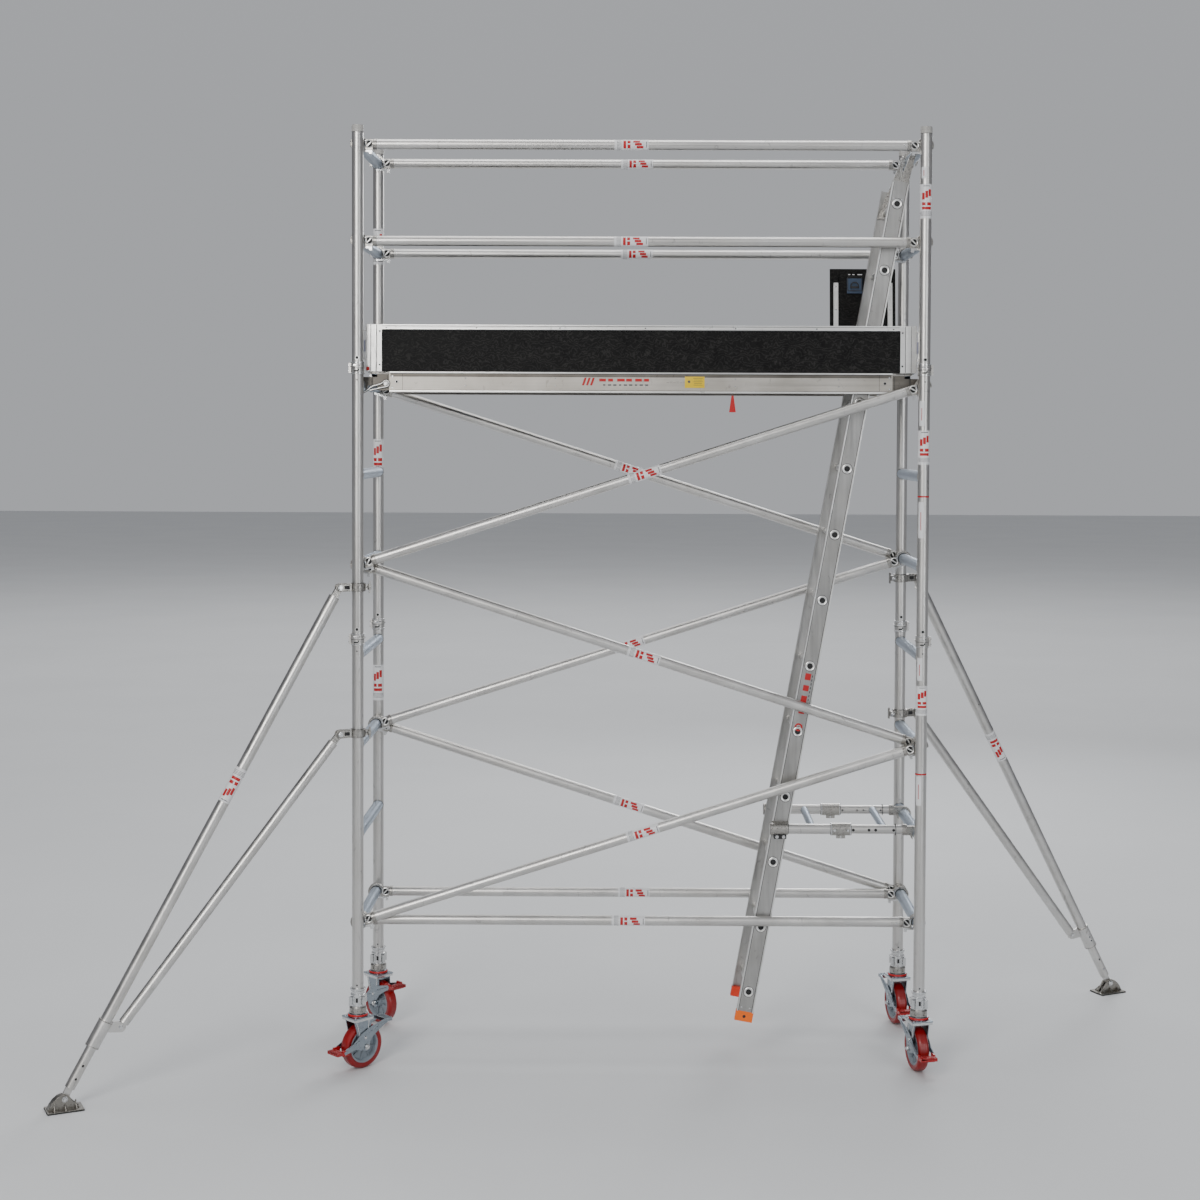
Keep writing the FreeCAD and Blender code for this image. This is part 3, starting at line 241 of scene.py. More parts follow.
class Piece:
    """Collects shapes of one material that ride on one body."""

    def __init__(self, name, body, mat):
        self.name, self.body, self.mat = name, body, mat
        self.bm = bmesh.new()

    def lathe(self, start, axis, profile, n=40, ang0=0.0, ang1=None, ref=None):
        """Revolve (distance along axis, radius) points about the axis."""
        axis = V(axis).normalized()
        ref = V(ref) if ref is not None else (X if abs(axis.x) < 0.9 else Y)
        u = (ref - axis * ref.dot(axis)).normalized()
        v = axis.cross(u)
        full = ang1 is None
        span = FULL if full else ang1 - ang0
        steps = n if full else n + 1
        start = V(start)
        rings = []
        for i in range(steps):
            a = ang0 + span * i / n
            d = u * math.cos(a) + v * math.sin(a)
            rings.append([self.bm.verts.new(start + axis * s + d * r) for s, r in profile])
        last = steps if full else steps - 1
        for i in range(last):
            p, q = rings[i], rings[(i + 1) % steps]
            for j in range(len(profile) - 1):
                ra, rb = profile[j][1], profile[j + 1][1]
                if ra < 1e-7 and rb < 1e-7:
                    continue
                if ra < 1e-7:
                    self.bm.faces.new((p[j], p[j + 1], q[j + 1]))
                elif rb < 1e-7:
                    self.bm.faces.new((p[j], p[j + 1], q[j]))
                else:
                    self.bm.faces.new((p[j], p[j + 1], q[j + 1], q[j]))
        return self

    def rod(self, a, b, r, n=32, c=None):
        a, b = V(a), V(b)
        length = (b - a).length
        c = min(r * 0.2, length * 0.2, 0.0012) if c is None else c
        return self.lathe(a, b - a, [(0, 0), (0, r - c), (c, r), (length - c, r),
                                     (length, r - c), (length, 0)], n)

    def stud(self, at, out, deep, proud, r, n=16, c=None):
        """Rod along out, from deep behind a point to proud of it."""
        at = V(at)
        return self.rod(at - out * deep, at + out * proud, r, n, c)

    def sleeve(self, a, b, r0, r1, n=48, c=0.0005):
        """Ring of outer radius r1 and inner radius r0 between a and b."""
        a, b = V(a), V(b)
        length = (b - a).length
        return self.lathe(a, b - a, [(0, r0), (0, r1 - c), (c, r1), (length - c, r1),
                                     (length, r1 - c), (length, r0), (0, r0)], n)

    def hoop(self, at, low, high, r0, r1, n=48, c=0.0005):
        """Upright sleeve between two heights over a point."""
        return self.sleeve(at + Z * low, at + Z * high, r0, r1, n, c)

    def block(self, centre, size, axes=None, c=0.0008):
        """Box with bevelled edges, its axes given as three unit vectors."""
        axes = axes or (X, Y, Z)
        made = bmesh.ops.create_cube(self.bm, size=1.0)["verts"]
        c = min(c, min(size) * 0.3)
        edges = list({e for v in made for e in v.link_edges})
        for v in made:
            p = v.co.copy()
            v.co = V((p.x * size[0], p.y * size[1], p.z * size[2]))
        out = bmesh.ops.bevel(self.bm, geom=edges, offset=c, segments=2, profile=0.7,
                              affect="EDGES")
        vs = {v for f in out["faces"] for v in f.verts} | {v for v in made if v.is_valid}
        todo, seen = list(vs), set(vs)
        while todo:
            v = todo.pop()
            for e in v.link_edges:
                w = e.other_vert(v)
                if w not in seen:
                    seen.add(w)
                    todo.append(w)
        for v in seen:
            p = v.co.copy()
            v.co = V(centre) + axes[0] * p.x + axes[1] * p.y + axes[2] * p.z
        return self

    def prism(self, outline, origin, u, v, depth):
        """Extrude an outline of (u, v) points by depth along u x v."""
        origin, u, v = V(origin), V(u), V(v)
        w = u.cross(v).normalized() * depth
        a = [self.bm.verts.new(origin + u * p + v * q) for p, q in outline]
        b = [self.bm.verts.new(x.co + w) for x in a]
        k = len(a)
        self.bm.faces.new(list(reversed(a)))
        self.bm.faces.new(b)
        for i in range(k):
            self.bm.faces.new((a[i], a[(i + 1) % k], b[(i + 1) % k], b[i]))
        return self

    def wire(self, points, r, n=10, closed=False):
        """Round wire through the points, smoothed with a spline."""
        pts = [V(p) for p in points]
        path = []
        m = len(pts)
        steps = 8
        last = m if closed else m - 1
        for i in range(last):
            if closed:
                p0, p1, p2, p3 = (pts[(i + k - 1) % m] for k in range(4))
            else:
                p0 = pts[max(i - 1, 0)]
                p1, p2 = pts[i], pts[i + 1]
                p3 = pts[min(i + 2, m - 1)]
            for s in range(steps):
                t = s / steps
                path.append(0.5 * (2 * p1 + (p2 - p0) * t + (2 * p0 - 5 * p1 + 4 * p2 - p3) * t * t
                                   + (3 * p1 - p0 - 3 * p2 + p3) * t ** 3))
        if not closed:
            path.append(pts[-1])
        count = len(path)
        rings = []
        normal = None
        for i, p in enumerate(path):
            nxt = path[(i + 1) % count] if closed or i < count - 1 else p
            prv = path[i - 1] if closed or i else p
            tan = (nxt - prv).normalized()
            if normal is None:
                normal = tan.orthogonal().normalized()
            normal = (normal - tan * normal.dot(tan)).normalized()
            side = tan.cross(normal)
            rings.append([self.bm.verts.new(p + (normal * math.cos(a) + side * math.sin(a)) * r)
                          for a in (FULL * k / n for k in range(n))])
        for i in range(count if closed else count - 1):
            p, q = rings[i], rings[(i + 1) % count]
            for k in range(n):
                self.bm.faces.new((p[k], p[(k + 1) % n], q[(k + 1) % n], q[k]))
        if not closed:
            self.bm.faces.new(list(reversed(rings[0])))
            self.bm.faces.new(rings[-1])
        return self

    def hexagon(self, base, axis, across, height, washer=0.0):
        """Hex head with a chamfered top, and a washer under it."""
        axis = V(axis).normalized()
        base = V(base)
        if washer:
            self.rod(base, base + axis * 0.0012, across * 0.5 + washer, 28)
            base = base + axis * 0.0012
        r = across / math.sqrt(3)
        self.lathe(base, axis, [(0, 0), (0, r), (height * 0.8, r), (height, r * 0.82),
                                (height, 0)], 6)
        return self

    def patch(self, a, axis, ref, r, ang0, ang1, s0, s1, thick=0.00015):
        """Thin curved strip on a tube of radius r: angles about axis from ref, run s0 to s1."""
        n = max(2, int(abs(ang1 - ang0) / 0.12))
        return self.lathe(V(a), axis, [(s0, r), (s0, r + thick), (s1, r + thick), (s1, r),
                                       (s0, r)], n, ang0, ang1, ref)

    def done(self, angle=35):
        bmesh.ops.remove_doubles(self.bm, verts=self.bm.verts, dist=1e-6)
        bmesh.ops.recalc_face_normals(self.bm, faces=self.bm.faces)
        me = bpy.data.meshes.new(self.name)
        self.bm.to_mesh(me)
        self.bm.free()
        me.shade_smooth()
        me.set_sharp_from_angle(angle=math.radians(angle))
        me.materials.append(M[self.mat])
        ob = bpy.data.objects.new(self.name, me)
        bpy.context.scene.collection.objects.link(ob)
        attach(ob, self.body)
        return ob


def pieces(body, tail="", **mats):
    """Empty pieces on one body, given as name=material."""
    return [Piece(name + tail, body, mat) for name, mat in mats.items()]


def finish(*made, angle=35):
    for pc in made:
        pc.done(angle)


def paint(node, mat, *rules):
    """Give a CAD node its finish, with others where a rule on the face centre holds."""
    ob = nodes[node]
    me = ob.data
    me.materials.clear()
    me.materials.append(M[mat])
    for _, name in rules:
        me.materials.append(M[name])
    for p in me.polygons:
        index = 0
        for k, (test, _) in enumerate(rules, 1):
            if test(p.center, p.normal):
                index = k
                break
        p.material_index = index
    me.shade_smooth()
    me.set_sharp_from_angle(angle=math.radians(30))


AXLE = (-0.020, 0, 0.100)  # the wheel's centre in its castor's own frame
FORK_FACE = 0.035  # outside of the fork's legs


def corner(c):
    sx, sy = CORNERS[c]
    return V((sx * HB, sy * HW, 0))


def turned(c, x, y, z):
    """Point of a castor's own frame, turned to its heading and set under its corner."""
    h = math.radians(HEADINGS[c])
    return corner(c) + V((x * math.cos(h) - y * math.sin(h), x * math.sin(h) + y * math.cos(h), z))


def turned_dir(c, x, y, z):
    return turned(c, x, y, z) - corner(c)


# ------------------------------------------------------------- CAD nodes
for side in ("left", "right"):
    for part in ("base_frame", "mid_frame", "guard_frame"):
        # rungs take the blue-grey painted shade and reflection
        paint(f"{part}_{side}", "alu_z",
              (lambda p, n: abs(p.y) < HW - TUBE_R - 0.0003, "alu_y"))
    for kind in ("level", "rising", "falling"):
        paint(f"triggers_{kind}_{side}", "steel")
FINISHES = {
    "alu_any": "frame_collars front_braces back_braces outrigger_leg_front outrigger_leg_back",
    # platform_crossbars take the blue-grey painted shade and reflection
    "alu_z": "frame_spigots", "alu_x": "guardrails", "alu_y": "platform_crossbars",
    # platform_fittings take the darker metal as painted shade on the end castings
    "alu_sheet": "platform_beam_front platform_beam_back", "band": "platform_fittings",
    "stile": "ladder_stiles", "white_alu": "toe_board_frames ladder_rungs",
    "cast": "brace_claws ladder_hooks ladder_bracket_clamps",
    "cast_dark": "outrigger_foot_front outrigger_foot_back",
    "steel": "wind_lock_clip adjuster_nuts", "zinc": "hatch_hinge", "cap": "standard_caps",
    "film": "deck_panel toe_board_panels", "red_seal": "pull_tag", "latch": "hatch_latch"}
for mat, names in FINISHES.items():
    for node in names.split():
        paint(node, mat)
paint("ladder_feet", "orange", (lambda p, n: p.y > 0, "vermilion"))
# middle of the bracket tubes in the blue-grey painted shade and reflection
paint("ladder_bracket_tubes", "alu_x", (lambda p, n: -0.24 < p.y < 0.16, "alu_y"))
# the lid leans on the toe board's top edge, this far behind and above its hinge pin
REST_Y, REST_UP, FACE_OFF = 0.0157, 0.204, 0.004
LEAN = math.atan2(REST_Y, REST_UP) + math.asin(FACE_OFF / math.hypot(REST_Y, REST_UP))
LID_UP = V((0, math.sin(LEAN), math.cos(LEAN)))
LID_FRONT = V((0, -math.cos(LEAN), math.sin(LEAN)))
HINGE = V((0, 0.256, 3.113))


def lid_depth(p):
    return (p - HINGE).dot(LID_FRONT)


lid_depths = [lid_depth(v.co) for v in nodes["hatch_lid"].data.vertices]
lid_front = max(lid_depths)
paint("hatch_lid", "film",
      (lambda p, n: lid_depth(p) > lid_front - 0.0119, "white_alu"),
      (lambda p, n: (p - V((p.x, HINGE.y, HINGE.z))).length < 0.0225
       and abs(lid_depth(p)) < 0.0062, "zinc"))
for c in CORNERS:
    axle = turned(c, *AXLE)
    side_dir = turned_dir(c, 0, 1, 0)

    def off_axle(p, axle=axle, side_dir=side_dir):
        d = p - axle
        return (d - side_dir * d.dot(side_dir)).length

    paint(f"castor_wheel_{c}", "hub", (lambda p, n, f=off_axle: f(p) > 0.0752, "red_tyre"))
    paint(f"castor_fork_{c}", "zinc")
    fore = turned_dir(c, 1, 0, 0)
    red_end, red_from = (-1, 0.118) if c == "bl" else (1, 0.095)
    paint(f"castor_brake_{c}", "zinc",
          (lambda p, n, a=corner(c), d=fore * red_end, k=red_from: (p - a).dot(d) > k,
           "red_paint"))
    paint(f"castor_stem_{c}", "cast")
for name in ("front", "back"):
    post = V((-HB, -HW, 0)) if name == "front" else V((HB, HW, 0))
    paint(f"outrigger_frame_{name}", "alu_any",
          (lambda p, n, a=post: math.hypot(p.x - a.x, p.y - a.y) < 0.112, "cast"))

# ------------------------------------------------------------- grip-ribbed rungs
# ribs in the rungs' blue-grey painted shade and reflection
ribs = Piece("rung_ribs", "tower", "alu_y")
RIB_COUNT = 30
for sx in (-1, 1):
    for z in LEVELS:
        ring = []
        for k in range(RIB_COUNT):
            for da, r in ((0.0, 0.0241), (0.28, 0.0241), (0.38, 0.0246), (0.90, 0.0246)):
                a = FULL * (k + da) / RIB_COUNT
                ring.append((r * math.cos(a), r * math.sin(a)))
        vs = []
        for yy in (-1, 1):
            row = []
            for dx, dz in ring:
                cope = HW - math.sqrt(max(TUBE_R ** 2 - dx ** 2, 0)) + 0.0006
                row.append(ribs.bm.verts.new((sx * HB + dx, yy * cope, z + dz)))
            vs.append(row)
        m = len(ring)
        for i in range(m):
            j = (i + 1) % m
            ribs.bm.faces.new((vs[0][i], vs[0][j], vs[1][j], vs[1][i]))
ribs.done(20)

# weld beads where the rungs meet the standards
beads = Piece("rung_welds", "tower", "cast")
for sx in (-1, 1):
    for z in LEVELS:
        for sy in (-1, 1):
            pts = []
            for k in range(28):
                a = FULL * k / 28
                dx, dz = (RUNG_R + 0.0006) * math.cos(a), (RUNG_R + 0.0006) * math.sin(a)
                d = math.sqrt(max(TUBE_R ** 2 - min(dx ** 2, TUBE_R ** 2 * 0.999), 0))
                pts.append((sx * HB + dx, sy * (HW - d - 0.0008), z + dz))
            beads.wire(pts, 0.0024 + 0.0002 * sx, 6, True)
beads.done(60)

# ------------------------------------------------------------- standards
TOP = 4.18
dark, rings, bands, seams, rivets, captops = pieces(
    "tower", standard_holes="dark", hole_eyelets="white_alu", collar_rings="steel",
    collar_seams="dark", collar_rivets="steel", standard_cap_bands="cap")
for c, (sx, sy) in CORNERS.items():
    at = corner(c)
    for jz in JOINTS:
        for face in (-Y, Y):
            p = at + face * TUBE_R + Z * (jz + 0.045)
            dark.stud(p, face, 0.002, 0.0004, 0.0064, 22, 0.0001)
            rings.sleeve(p - face * 0.0012, p + face * 0.0008, 0.0064, 0.0092, 24, 0.0003)
        dark.stud(at - Y * TUBE_R + Z * (jz - 0.052), -Y, 0.002, 0.0003, 0.0032, 16, 0.0001)
        for dz in (-0.0245, 0.0215):
            bands.hoop(at, jz + dz, jz + dz + 0.005, 0.0288, 0.0302, 56, 0.0006)
        seams.hoop(at, jz - 0.0012, jz + 0.0006, 0.0288, 0.0291, 56, 0.0001)
        seams.block(at + V((-0.004, -0.0292, jz - 0.013)), (0.018, 0.0014, 0.0065), c=0.0003)
        seams.block(at + V((0.007, -0.0290, jz - 0.008)), (0.005, 0.0014, 0.0085), c=0.0003)
        p = at + V((0.011, -0.028, jz + 0.012))
        seams.stud(p, -Y, 0, 0.0032, 0.0022, 14, 0.0001)
        rivets.block(at + V((-0.006, -0.0294, jz + 0.011)), (0.019, 0.0030, 0.009), c=0.001)
        rivets.stud(p, -Y, 0, 0.0025, 0.0032)
        for dz in (0.012, -0.012):
            rivets.stud(at + V((sx * 0.039, 0, jz + dz)), Y, 0.0085, 0.0085, 0.0028, 14)
    captops.hoop(at, TOP - 0.022, TOP + 0.0002, 0.0254, 0.0262, 56, 0.0005)
    captops.hoop(at, TOP - 0.0075, TOP - 0.0045, 0.0258, 0.0267, 56, 0.0004)
    seams.hoop(at, TOP - 0.0238, TOP - 0.0222, 0.0254, 0.0256, 56, 0.0001)
finish(dark, rings, bands, seams, rivets, captops)

# ------------------------------------------------------------- wrap labels
labels, marks, greys = pieces("tower", wrap_labels="label", wrap_marks="mark",
                              wrap_lines="mark_grey")


def wrap(lab, mk, gr, centre, axis, r, length):
    """White wrap with plain red bars and thin grey rules, round a tube."""
    axis = V(axis).normalized()
    a = V(centre) - axis * (length / 2)
    lab.patch(a, axis, -Y, r, 0, WRAP, 0, length, 0.00022)
    e = r + 0.0002
    for k in range(4):
        s = length * (0.08 + 0.035 * k)
        gr.patch(a, axis, -Y, e, -2.4, 2.4, s, s + length * 0.010)
    for off in (0.0, math.pi):
        mk.patch(a, axis, -Y, e, off - 0.85, off + 0.85, length * 0.26, length * 0.34)
        mk.patch(a, axis, -Y, e, off - 0.85, off - 0.20, length * 0.38, length * 0.47)
        mk.patch(a, axis, -Y, e, off + 0.05, off + 0.85, length * 0.38, length * 0.47)
        for j in range(3):
            mk.patch(a, axis, -Y, e, off - 0.85 + 0.58 * j, off - 0.35 + 0.58 * j,
                     length * (0.55 + 0.05 * j), length * (0.75 + 0.05 * j))
        gr.patch(a, axis, -Y, e, off - 0.6, off + 0.6, length * 0.935, length * 0.955)


for c, z, length in (("fr", 3.86, 0.15), ("fr", 2.78, 0.15), ("fr", 1.66, 0.13),
                     ("bl", 3.72, 0.17), ("bl", 2.72, 0.17), ("bl", 1.64, 0.17)):
    wrap(labels, marks, greys, corner(c) + Z * z, Z, TUBE_R, length)
plain = Piece("plain_labels", "tower", "label")
for c, z, ln in (("fr", 3.985, 0.05), ("fr", 2.93, 0.11), ("fr", 1.80, 0.10), ("fr", 1.26, 0.13),
                 ("fr", 2.46, 0.16)):
    at, facing = corner(c), V((-0.6, -1, 0))
    plain.patch(at + Z * (z - ln / 2), Z, facing, TUBE_R, -0.5, 0.5, 0, ln, 0.0002)
    marks.patch(at + Z * (z - ln * 0.28), Z, facing, TUBE_R + 0.0002, -0.06, 0.06, 0, ln * 0.5)
# thin red bands
for z in (2.56, 1.33):
    marks.patch(corner("fr") + Z * z, Z, -Y, TUBE_R, 0, WRAP, 0, 0.007)

# each brace and guardrail: its place across the bay, then its heights left and right
BRACES = [(-CLAW_Y, 2.25, 3.05), (-CLAW_Y2, 2.25, 1.45), (-CLAW_Y, 0.65, 1.45),
          (-CLAW_Y2, 0.65, 0.65), (CLAW_Y, 3.05, 2.25), (CLAW_Y2, 1.45, 2.25),
          (CLAW_Y, 1.45, 0.65), (CLAW_Y2, 0.65, 0.65)]
for z in (3.685, 4.11):
    for sy in (-1, 1):
        BRACES.append((sy * CLAW_Y, z, z))
for y, zl, zr in BRACES:
    a, b = V((-HB, y, zl)), V((HB, y, zr))
    axis = (b - a).normalized()
    if zl == zr:
        mid = a.lerp(b, 0.5) + axis * (-0.045 if y < 0 else -0.02)
    else:
        mid = a.lerp(b, 0.5) + axis * (0.02 if y < 0 else -0.05)
    wrap(labels, marks, greys, mid, axis, BRACE_R, 0.15)
plain.done()

# end bands on the brace tubes, and the claws' rivets and spring housings
ferr, ferr_dark, ferr_steel, ferr_rim = pieces(
    "tower", brace_ferrules="cast", claw_slots="dark", claw_rivets="steel",
    claw_trigger_rims="white_alu")
HOOK_ARC = math.radians(112)
for y, zl, zr in BRACES:
    a, b = V((-HB, y, zl)), V((HB, y, zr))
    run = (b - a).normalized()
    for end, d in ((a, run), (b, -run)):
        up = (Z - d * d.z).normalized()
        ferr.sleeve(end + d * 0.066, end + d * 0.080, 0.0224, 0.0243, 44, 0.0012)
        for n in (Y, -Y):
            ferr_steel.stud(end + d * 0.094, n, -0.0215, 0.0243, 0.0034, 14)
        # cheeks of the cast hook with a lightening slot and hinge rivets
        for n in (-Y, Y):
            q = end + n * 0.0131
            eye = q + d * 0.0465
            ferr_dark.stud(eye, n, 0.001, 0.0007, 0.0140, 28, 0.0001)
            ferr_rim.lathe(eye - n * 0.0004, n,
                           [(0, 0.0135), (0.0018, 0.0140), (0.0026, 0.0160), (0.0018, 0.0184),
                            (0, 0.0190), (0, 0.0135)], 32)
            ferr_rim.block(eye + n * 0.0008, (0.026, 0.0016, 0.0052),
                           ((d + up).normalized(), Y, (up - d).normalized()), 0.0004)
            # painted shadow gap round the rung, and the raised rim of the hook
            ferr_dark.lathe(q - n * 0.0003, n,
                            [(0, 0.0243), (0.0006, 0.0243), (0.0006, 0.0275), (0, 0.0275),
                             (0, 0.0243)], 30, -HOOK_ARC, HOOK_ARC, up)
            ferr.lathe(q - n * 0.0003, n,
                       [(0, 0.0320), (0.0020, 0.0330), (0.0022, 0.0362), (0.0008, 0.0374),
                        (0, 0.0374), (0, 0.0320)], 30, -HOOK_ARC, HOOK_ARC, up)
            ferr_steel.stud(q + d * 0.030 + up * 0.014, n, 0.001, 0.0022, 0.0036)
            for t in (math.radians(k) for k in (30, 62, 94, 126, 158)):
                w = q - d * (math.cos(t) * 0.0312) + up * (math.sin(t) * 0.0312)
                ferr.stud(w, n, 0.0008, 0.0016, 0.0023, 12)
finish(ferr, ferr_dark, ferr_steel, ferr_rim)
finish(labels, marks, greys, angle=20)

# ------------------------------------------------------------- platform
beam_marks, beam_grey, beam_yellow, beam_black, beam_line, beam_dark, beam_rivet, beam_shade = (
    pieces("tower", beam_marks="mark", beam_small_print="grey_text", beam_yellow_label="yellow",
           beam_label_print="mark_grey", beam_edges="white_alu", beam_holes="dark",
           beam_rivets="steel", beam_upper_band="band"))
yf = -BEAM_Y
# generic mark: three slanted bars and a row of plain blocks
for k in range(3):
    x0 = -0.262 + 0.018 * k
    beam_marks.prism([(x0, 3.050), (x0 + 0.010, 3.050), (x0 + 0.022, 3.084), (x0 + 0.012, 3.084)],
                     (0, yf + 0.0001, 0), X, Z, 0.0004)
for k, w in enumerate((0.030, 0.022, 0.034, 0.026, 0.030, 0.022)):
    x0 = -0.185 + 0.040 * k
    beam_marks.block((x0 + w / 2, yf - 0.0001, 3.074), (w, 0.0005, 0.013), c=0.0001)
for k in range(9):
    x0 = -0.170 + 0.0235 * k
    beam_black.block((x0 + 0.008, yf - 0.0001, 3.052), (0.015 if k % 3 else 0.010, 0.0005, 0.0065),
                     c=0.0001)
for k in range(6):
    beam_grey.block((0.121 + 0.0145 * k, yf - 0.0001, 3.0635), (0.012, 0.0005, 0.005), c=0.0001)
    if k % 2:
        beam_grey.block((0.121 + 0.0145 * k, yf - 0.0001, 3.0695), (0.014, 0.0005, 0.0025),
                        c=0.0001)
beam_yellow.block((0.240, yf - 0.0002, 3.0655), (0.088, 0.0008, 0.050), c=0.0002)
beam_black.lathe(V((0.215, yf - 0.0006, 3.068)), -Y, [(0, 0), (0, 0.006), (0.0003, 0.006),
                                                     (0.0003, 0)], 20)
for k in range(5):
    beam_black.block((0.255, yf - 0.0007, 3.083 - 0.0075 * k), (0.042 - 0.006 * (k % 2), 0.0004,
                                                              0.0016), c=0.0001)
for sy in (-1, 1):
    y = sy * BEAM_Y
    # bright lips at the bottom and top edges as painted highlight, thin dark lines under the top
    # lip and above the bottom lip as painted shade, and a dark band under the deck's edge as
    # painted shadow of the toe board's overhang
    for pc, out, z, size, c in (
            (beam_line, 0.0010, BEAM_Z + 0.004, (2.236, 0.003, 0.008), 0.0009),
            (beam_line, 0.0006, DECK_Z - 0.004, (2.236, 0.002, 0.006), 0.0007),
            (beam_dark, 0.0002, DECK_Z - 0.0088, (2.230, 0.0006, 0.0026), 0.0002),
            (beam_shade, 0.0001, DECK_Z - 0.0165, (2.228, 0.0006, 0.0130), 0.0002),
            (beam_dark, 0.0002, BEAM_Z + 0.0098, (2.230, 0.0006, 0.0013), 0.0002)):
        pc.block((0, y + sy * out, z), size, c=c)
    for sx in (-1, 1):
        for dx, dz, r in ((1.085, 0.046, 0.0067), (1.105, 0.020, 0.0045),
                          (1.105, 0.070, 0.0045)):
            beam_rivet.stud((sx * dx, y, BEAM_Z + dz), Y * sy, 0.001, 0.0018, r, 18)
        beam_dark.stud((sx * 1.085, y, BEAM_Z + 0.046), Y * sy, 0.001, 0.0021, 0.0052, 18, 0.0001)
        beam_dark.block((sx * 1.060, y + sy * 0.0002, BEAM_Z + 0.046), (0.0014, 0.0006, 0.072),
                        c=0.0002)
    for x in (-0.8, -0.4, 0.0, 0.4, 0.86):
        for dz in (0.030, 0.062):
            if sy < 0 and x == 0.0 and dz == 0.062:
                continue
            beam_rivet.stud((x + 0.02, y, BEAM_Z + dz), Y * sy, 0.001, 0.0014, 0.0033)
finish(beam_marks, beam_grey, beam_yellow, beam_black, beam_line, beam_dark, beam_rivet,
       beam_shade)

# end castings carry the beam's line on to the toe boards
covers, cover_dark = pieces("tower", beam_end_covers="cast", beam_end_cover_lines="dark")
for sx in (-1, 1):
    for sy in (-1, 1):
        y = sy * (BEAM_Y - 0.0120)
        covers.block((sx * 1.162, y, 3.1029), (0.0850, 0.0236, 0.0118), c=0.0012)
        cover_dark.block((sx * 1.1198, sy * (BEAM_Y + 0.0002), 3.060), (0.0014, 0.0008, 0.078),
                         c=0.0002)
        for dx, dz, w, h in ((1.174, 0.088, 0.080, 0.0030), (1.196, 0.045, 0.0024, 0.060),
                             (1.1275, 0.045, 0.0016, 0.060)):
            cover_dark.block((sx * dx, sy * (BEAM_Y + 0.0002), BEAM_Z + dz), (w, 0.0008, h),
                             c=0.0002)
finish(covers, cover_dark)

# deck board: screws through the board with their slots, and the trim at the hatch
deck_screw, deck_seam, deck_trim = pieces("tower", deck_screws="steel", deck_seams="dark",
                                          hatch_trim="white_alu")
for x in (-1.187, -0.8, -0.4, 0.0, 0.4, 0.87):
    for y in (-0.235, -0.12, 0.0, 0.12, 0.235):
        deck_screw.rod((x, y, DECK_Z - 0.001), (x, y, DECK_Z + 0.0007), 0.0058, 18, 0.0004)
        deck_seam.block((x, y, DECK_Z + 0.0007), (0.0072, 0.0013, 0.0003), c=0.0001)
deck_trim.block((0.8888, 0, DECK_Z - 0.0045), (0.0030, 0.514, 0.0105), c=0.0006)
finish(deck_screw, deck_seam, deck_trim)

# toe boards: folded end caps, channel lips, screws
fold, fold_dark, screws, screw_dark, red_small, loops, lugs = pieces(
    "tower", toe_cap_folds="white_alu", toe_board_shadow_lines="dark", toe_board_screws="steel",
    toe_board_screw_slots="dark", toe_board_plug="red_seal", toe_board_hooks="white_alu",
    toe_board_lugs="lilac")
TOE_MID = (DECK_Z + TOE_Z) / 2
for sy in (-1, 1):
    y, n = sy * TOE_Y, Y * sy
    for sx in (-1, 1):
        for dx in (0.020, 0.046):
            x = sx * (1.223 - dx)
            fold.block((x, y + sy * 0.0006, TOE_MID), (0.0045, 0.0024, 0.204), c=0.0008)
            fold_dark.block((x - sx * 0.0038, y + sy * 0.0003, TOE_MID),
                            (0.0022, 0.0008, 0.204), c=0.0001)
        for dz in (0.030, 0.178):
            p = V((sx * 1.160, y, DECK_Z + dz))
            screws.stud(p, n, 0.001, 0.0022, 0.0048)
            screw_dark.stud(p, n, -0.0018, 0.0026, 0.0034, 14, 0.0001)
        fold_dark.block((sx * 1.1497, y - sy * 0.002, TOE_MID - 0.01),
                        (0.0026, 0.0046, 0.180), c=0.0002)
    fold.block((0, y + sy * 0.0005, TOE_Z - 0.0030), (2.298, 0.0026, 0.0052), c=0.0009)
    fold.block((0, y + sy * 0.0005, TOE_Z - 0.0190), (2.298, 0.0024, 0.0050), c=0.0009)
    fold_dark.block((0, y + sy * 0.0002, TOE_Z - 0.0068), (2.296, 0.0006, 0.0016), c=0.0001)
    fold_dark.block((0, y + sy * 0.0004, TOE_Z - 0.0238), (2.298, 0.0030, 0.0046), c=0.0002)
    for x in (-1.13, -0.73, -0.36, 0.02, 0.42, 0.78, 1.12):
        p = V((x, y, TOE_Z - 0.0145))
        screws.stud(p, n, 0.001, 0.0016, 0.0036, 14)
        screw_dark.stud(p, n, -0.0012, 0.0019, 0.0024, 12, 0.0001)
red_small.block((-1.212, -TOE_Y - 0.0010, DECK_Z + 0.012), (0.014, 0.0040, 0.016), c=0.0015)
red_small.block((1.214, TOE_Y + 0.0010, DECK_Z + 0.012), (0.014, 0.0040, 0.016), c=0.0015)
for sx in (-1, 1):
    for sy in (-1, 1):
        x = sx * 1.2235
        y = sy * 0.285
        loops.wire([(x, y, 3.290), (x + sx * 0.006, y, 3.288), (x + sx * 0.0095, y, 3.275),
                    (x + sx * 0.0095, y, 3.19), (x + sx * 0.006, y, 3.165), (x, y, 3.160)],
                   0.0036, 8)
        # end lug in the blue-grey of painted shade and reflection
        lugs.block((x + sx * 0.004, y, 3.222), (0.0080, 0.020, 0.052), c=0.002)
finish(fold, fold_dark, screws, screw_dark, red_small, loops, lugs)

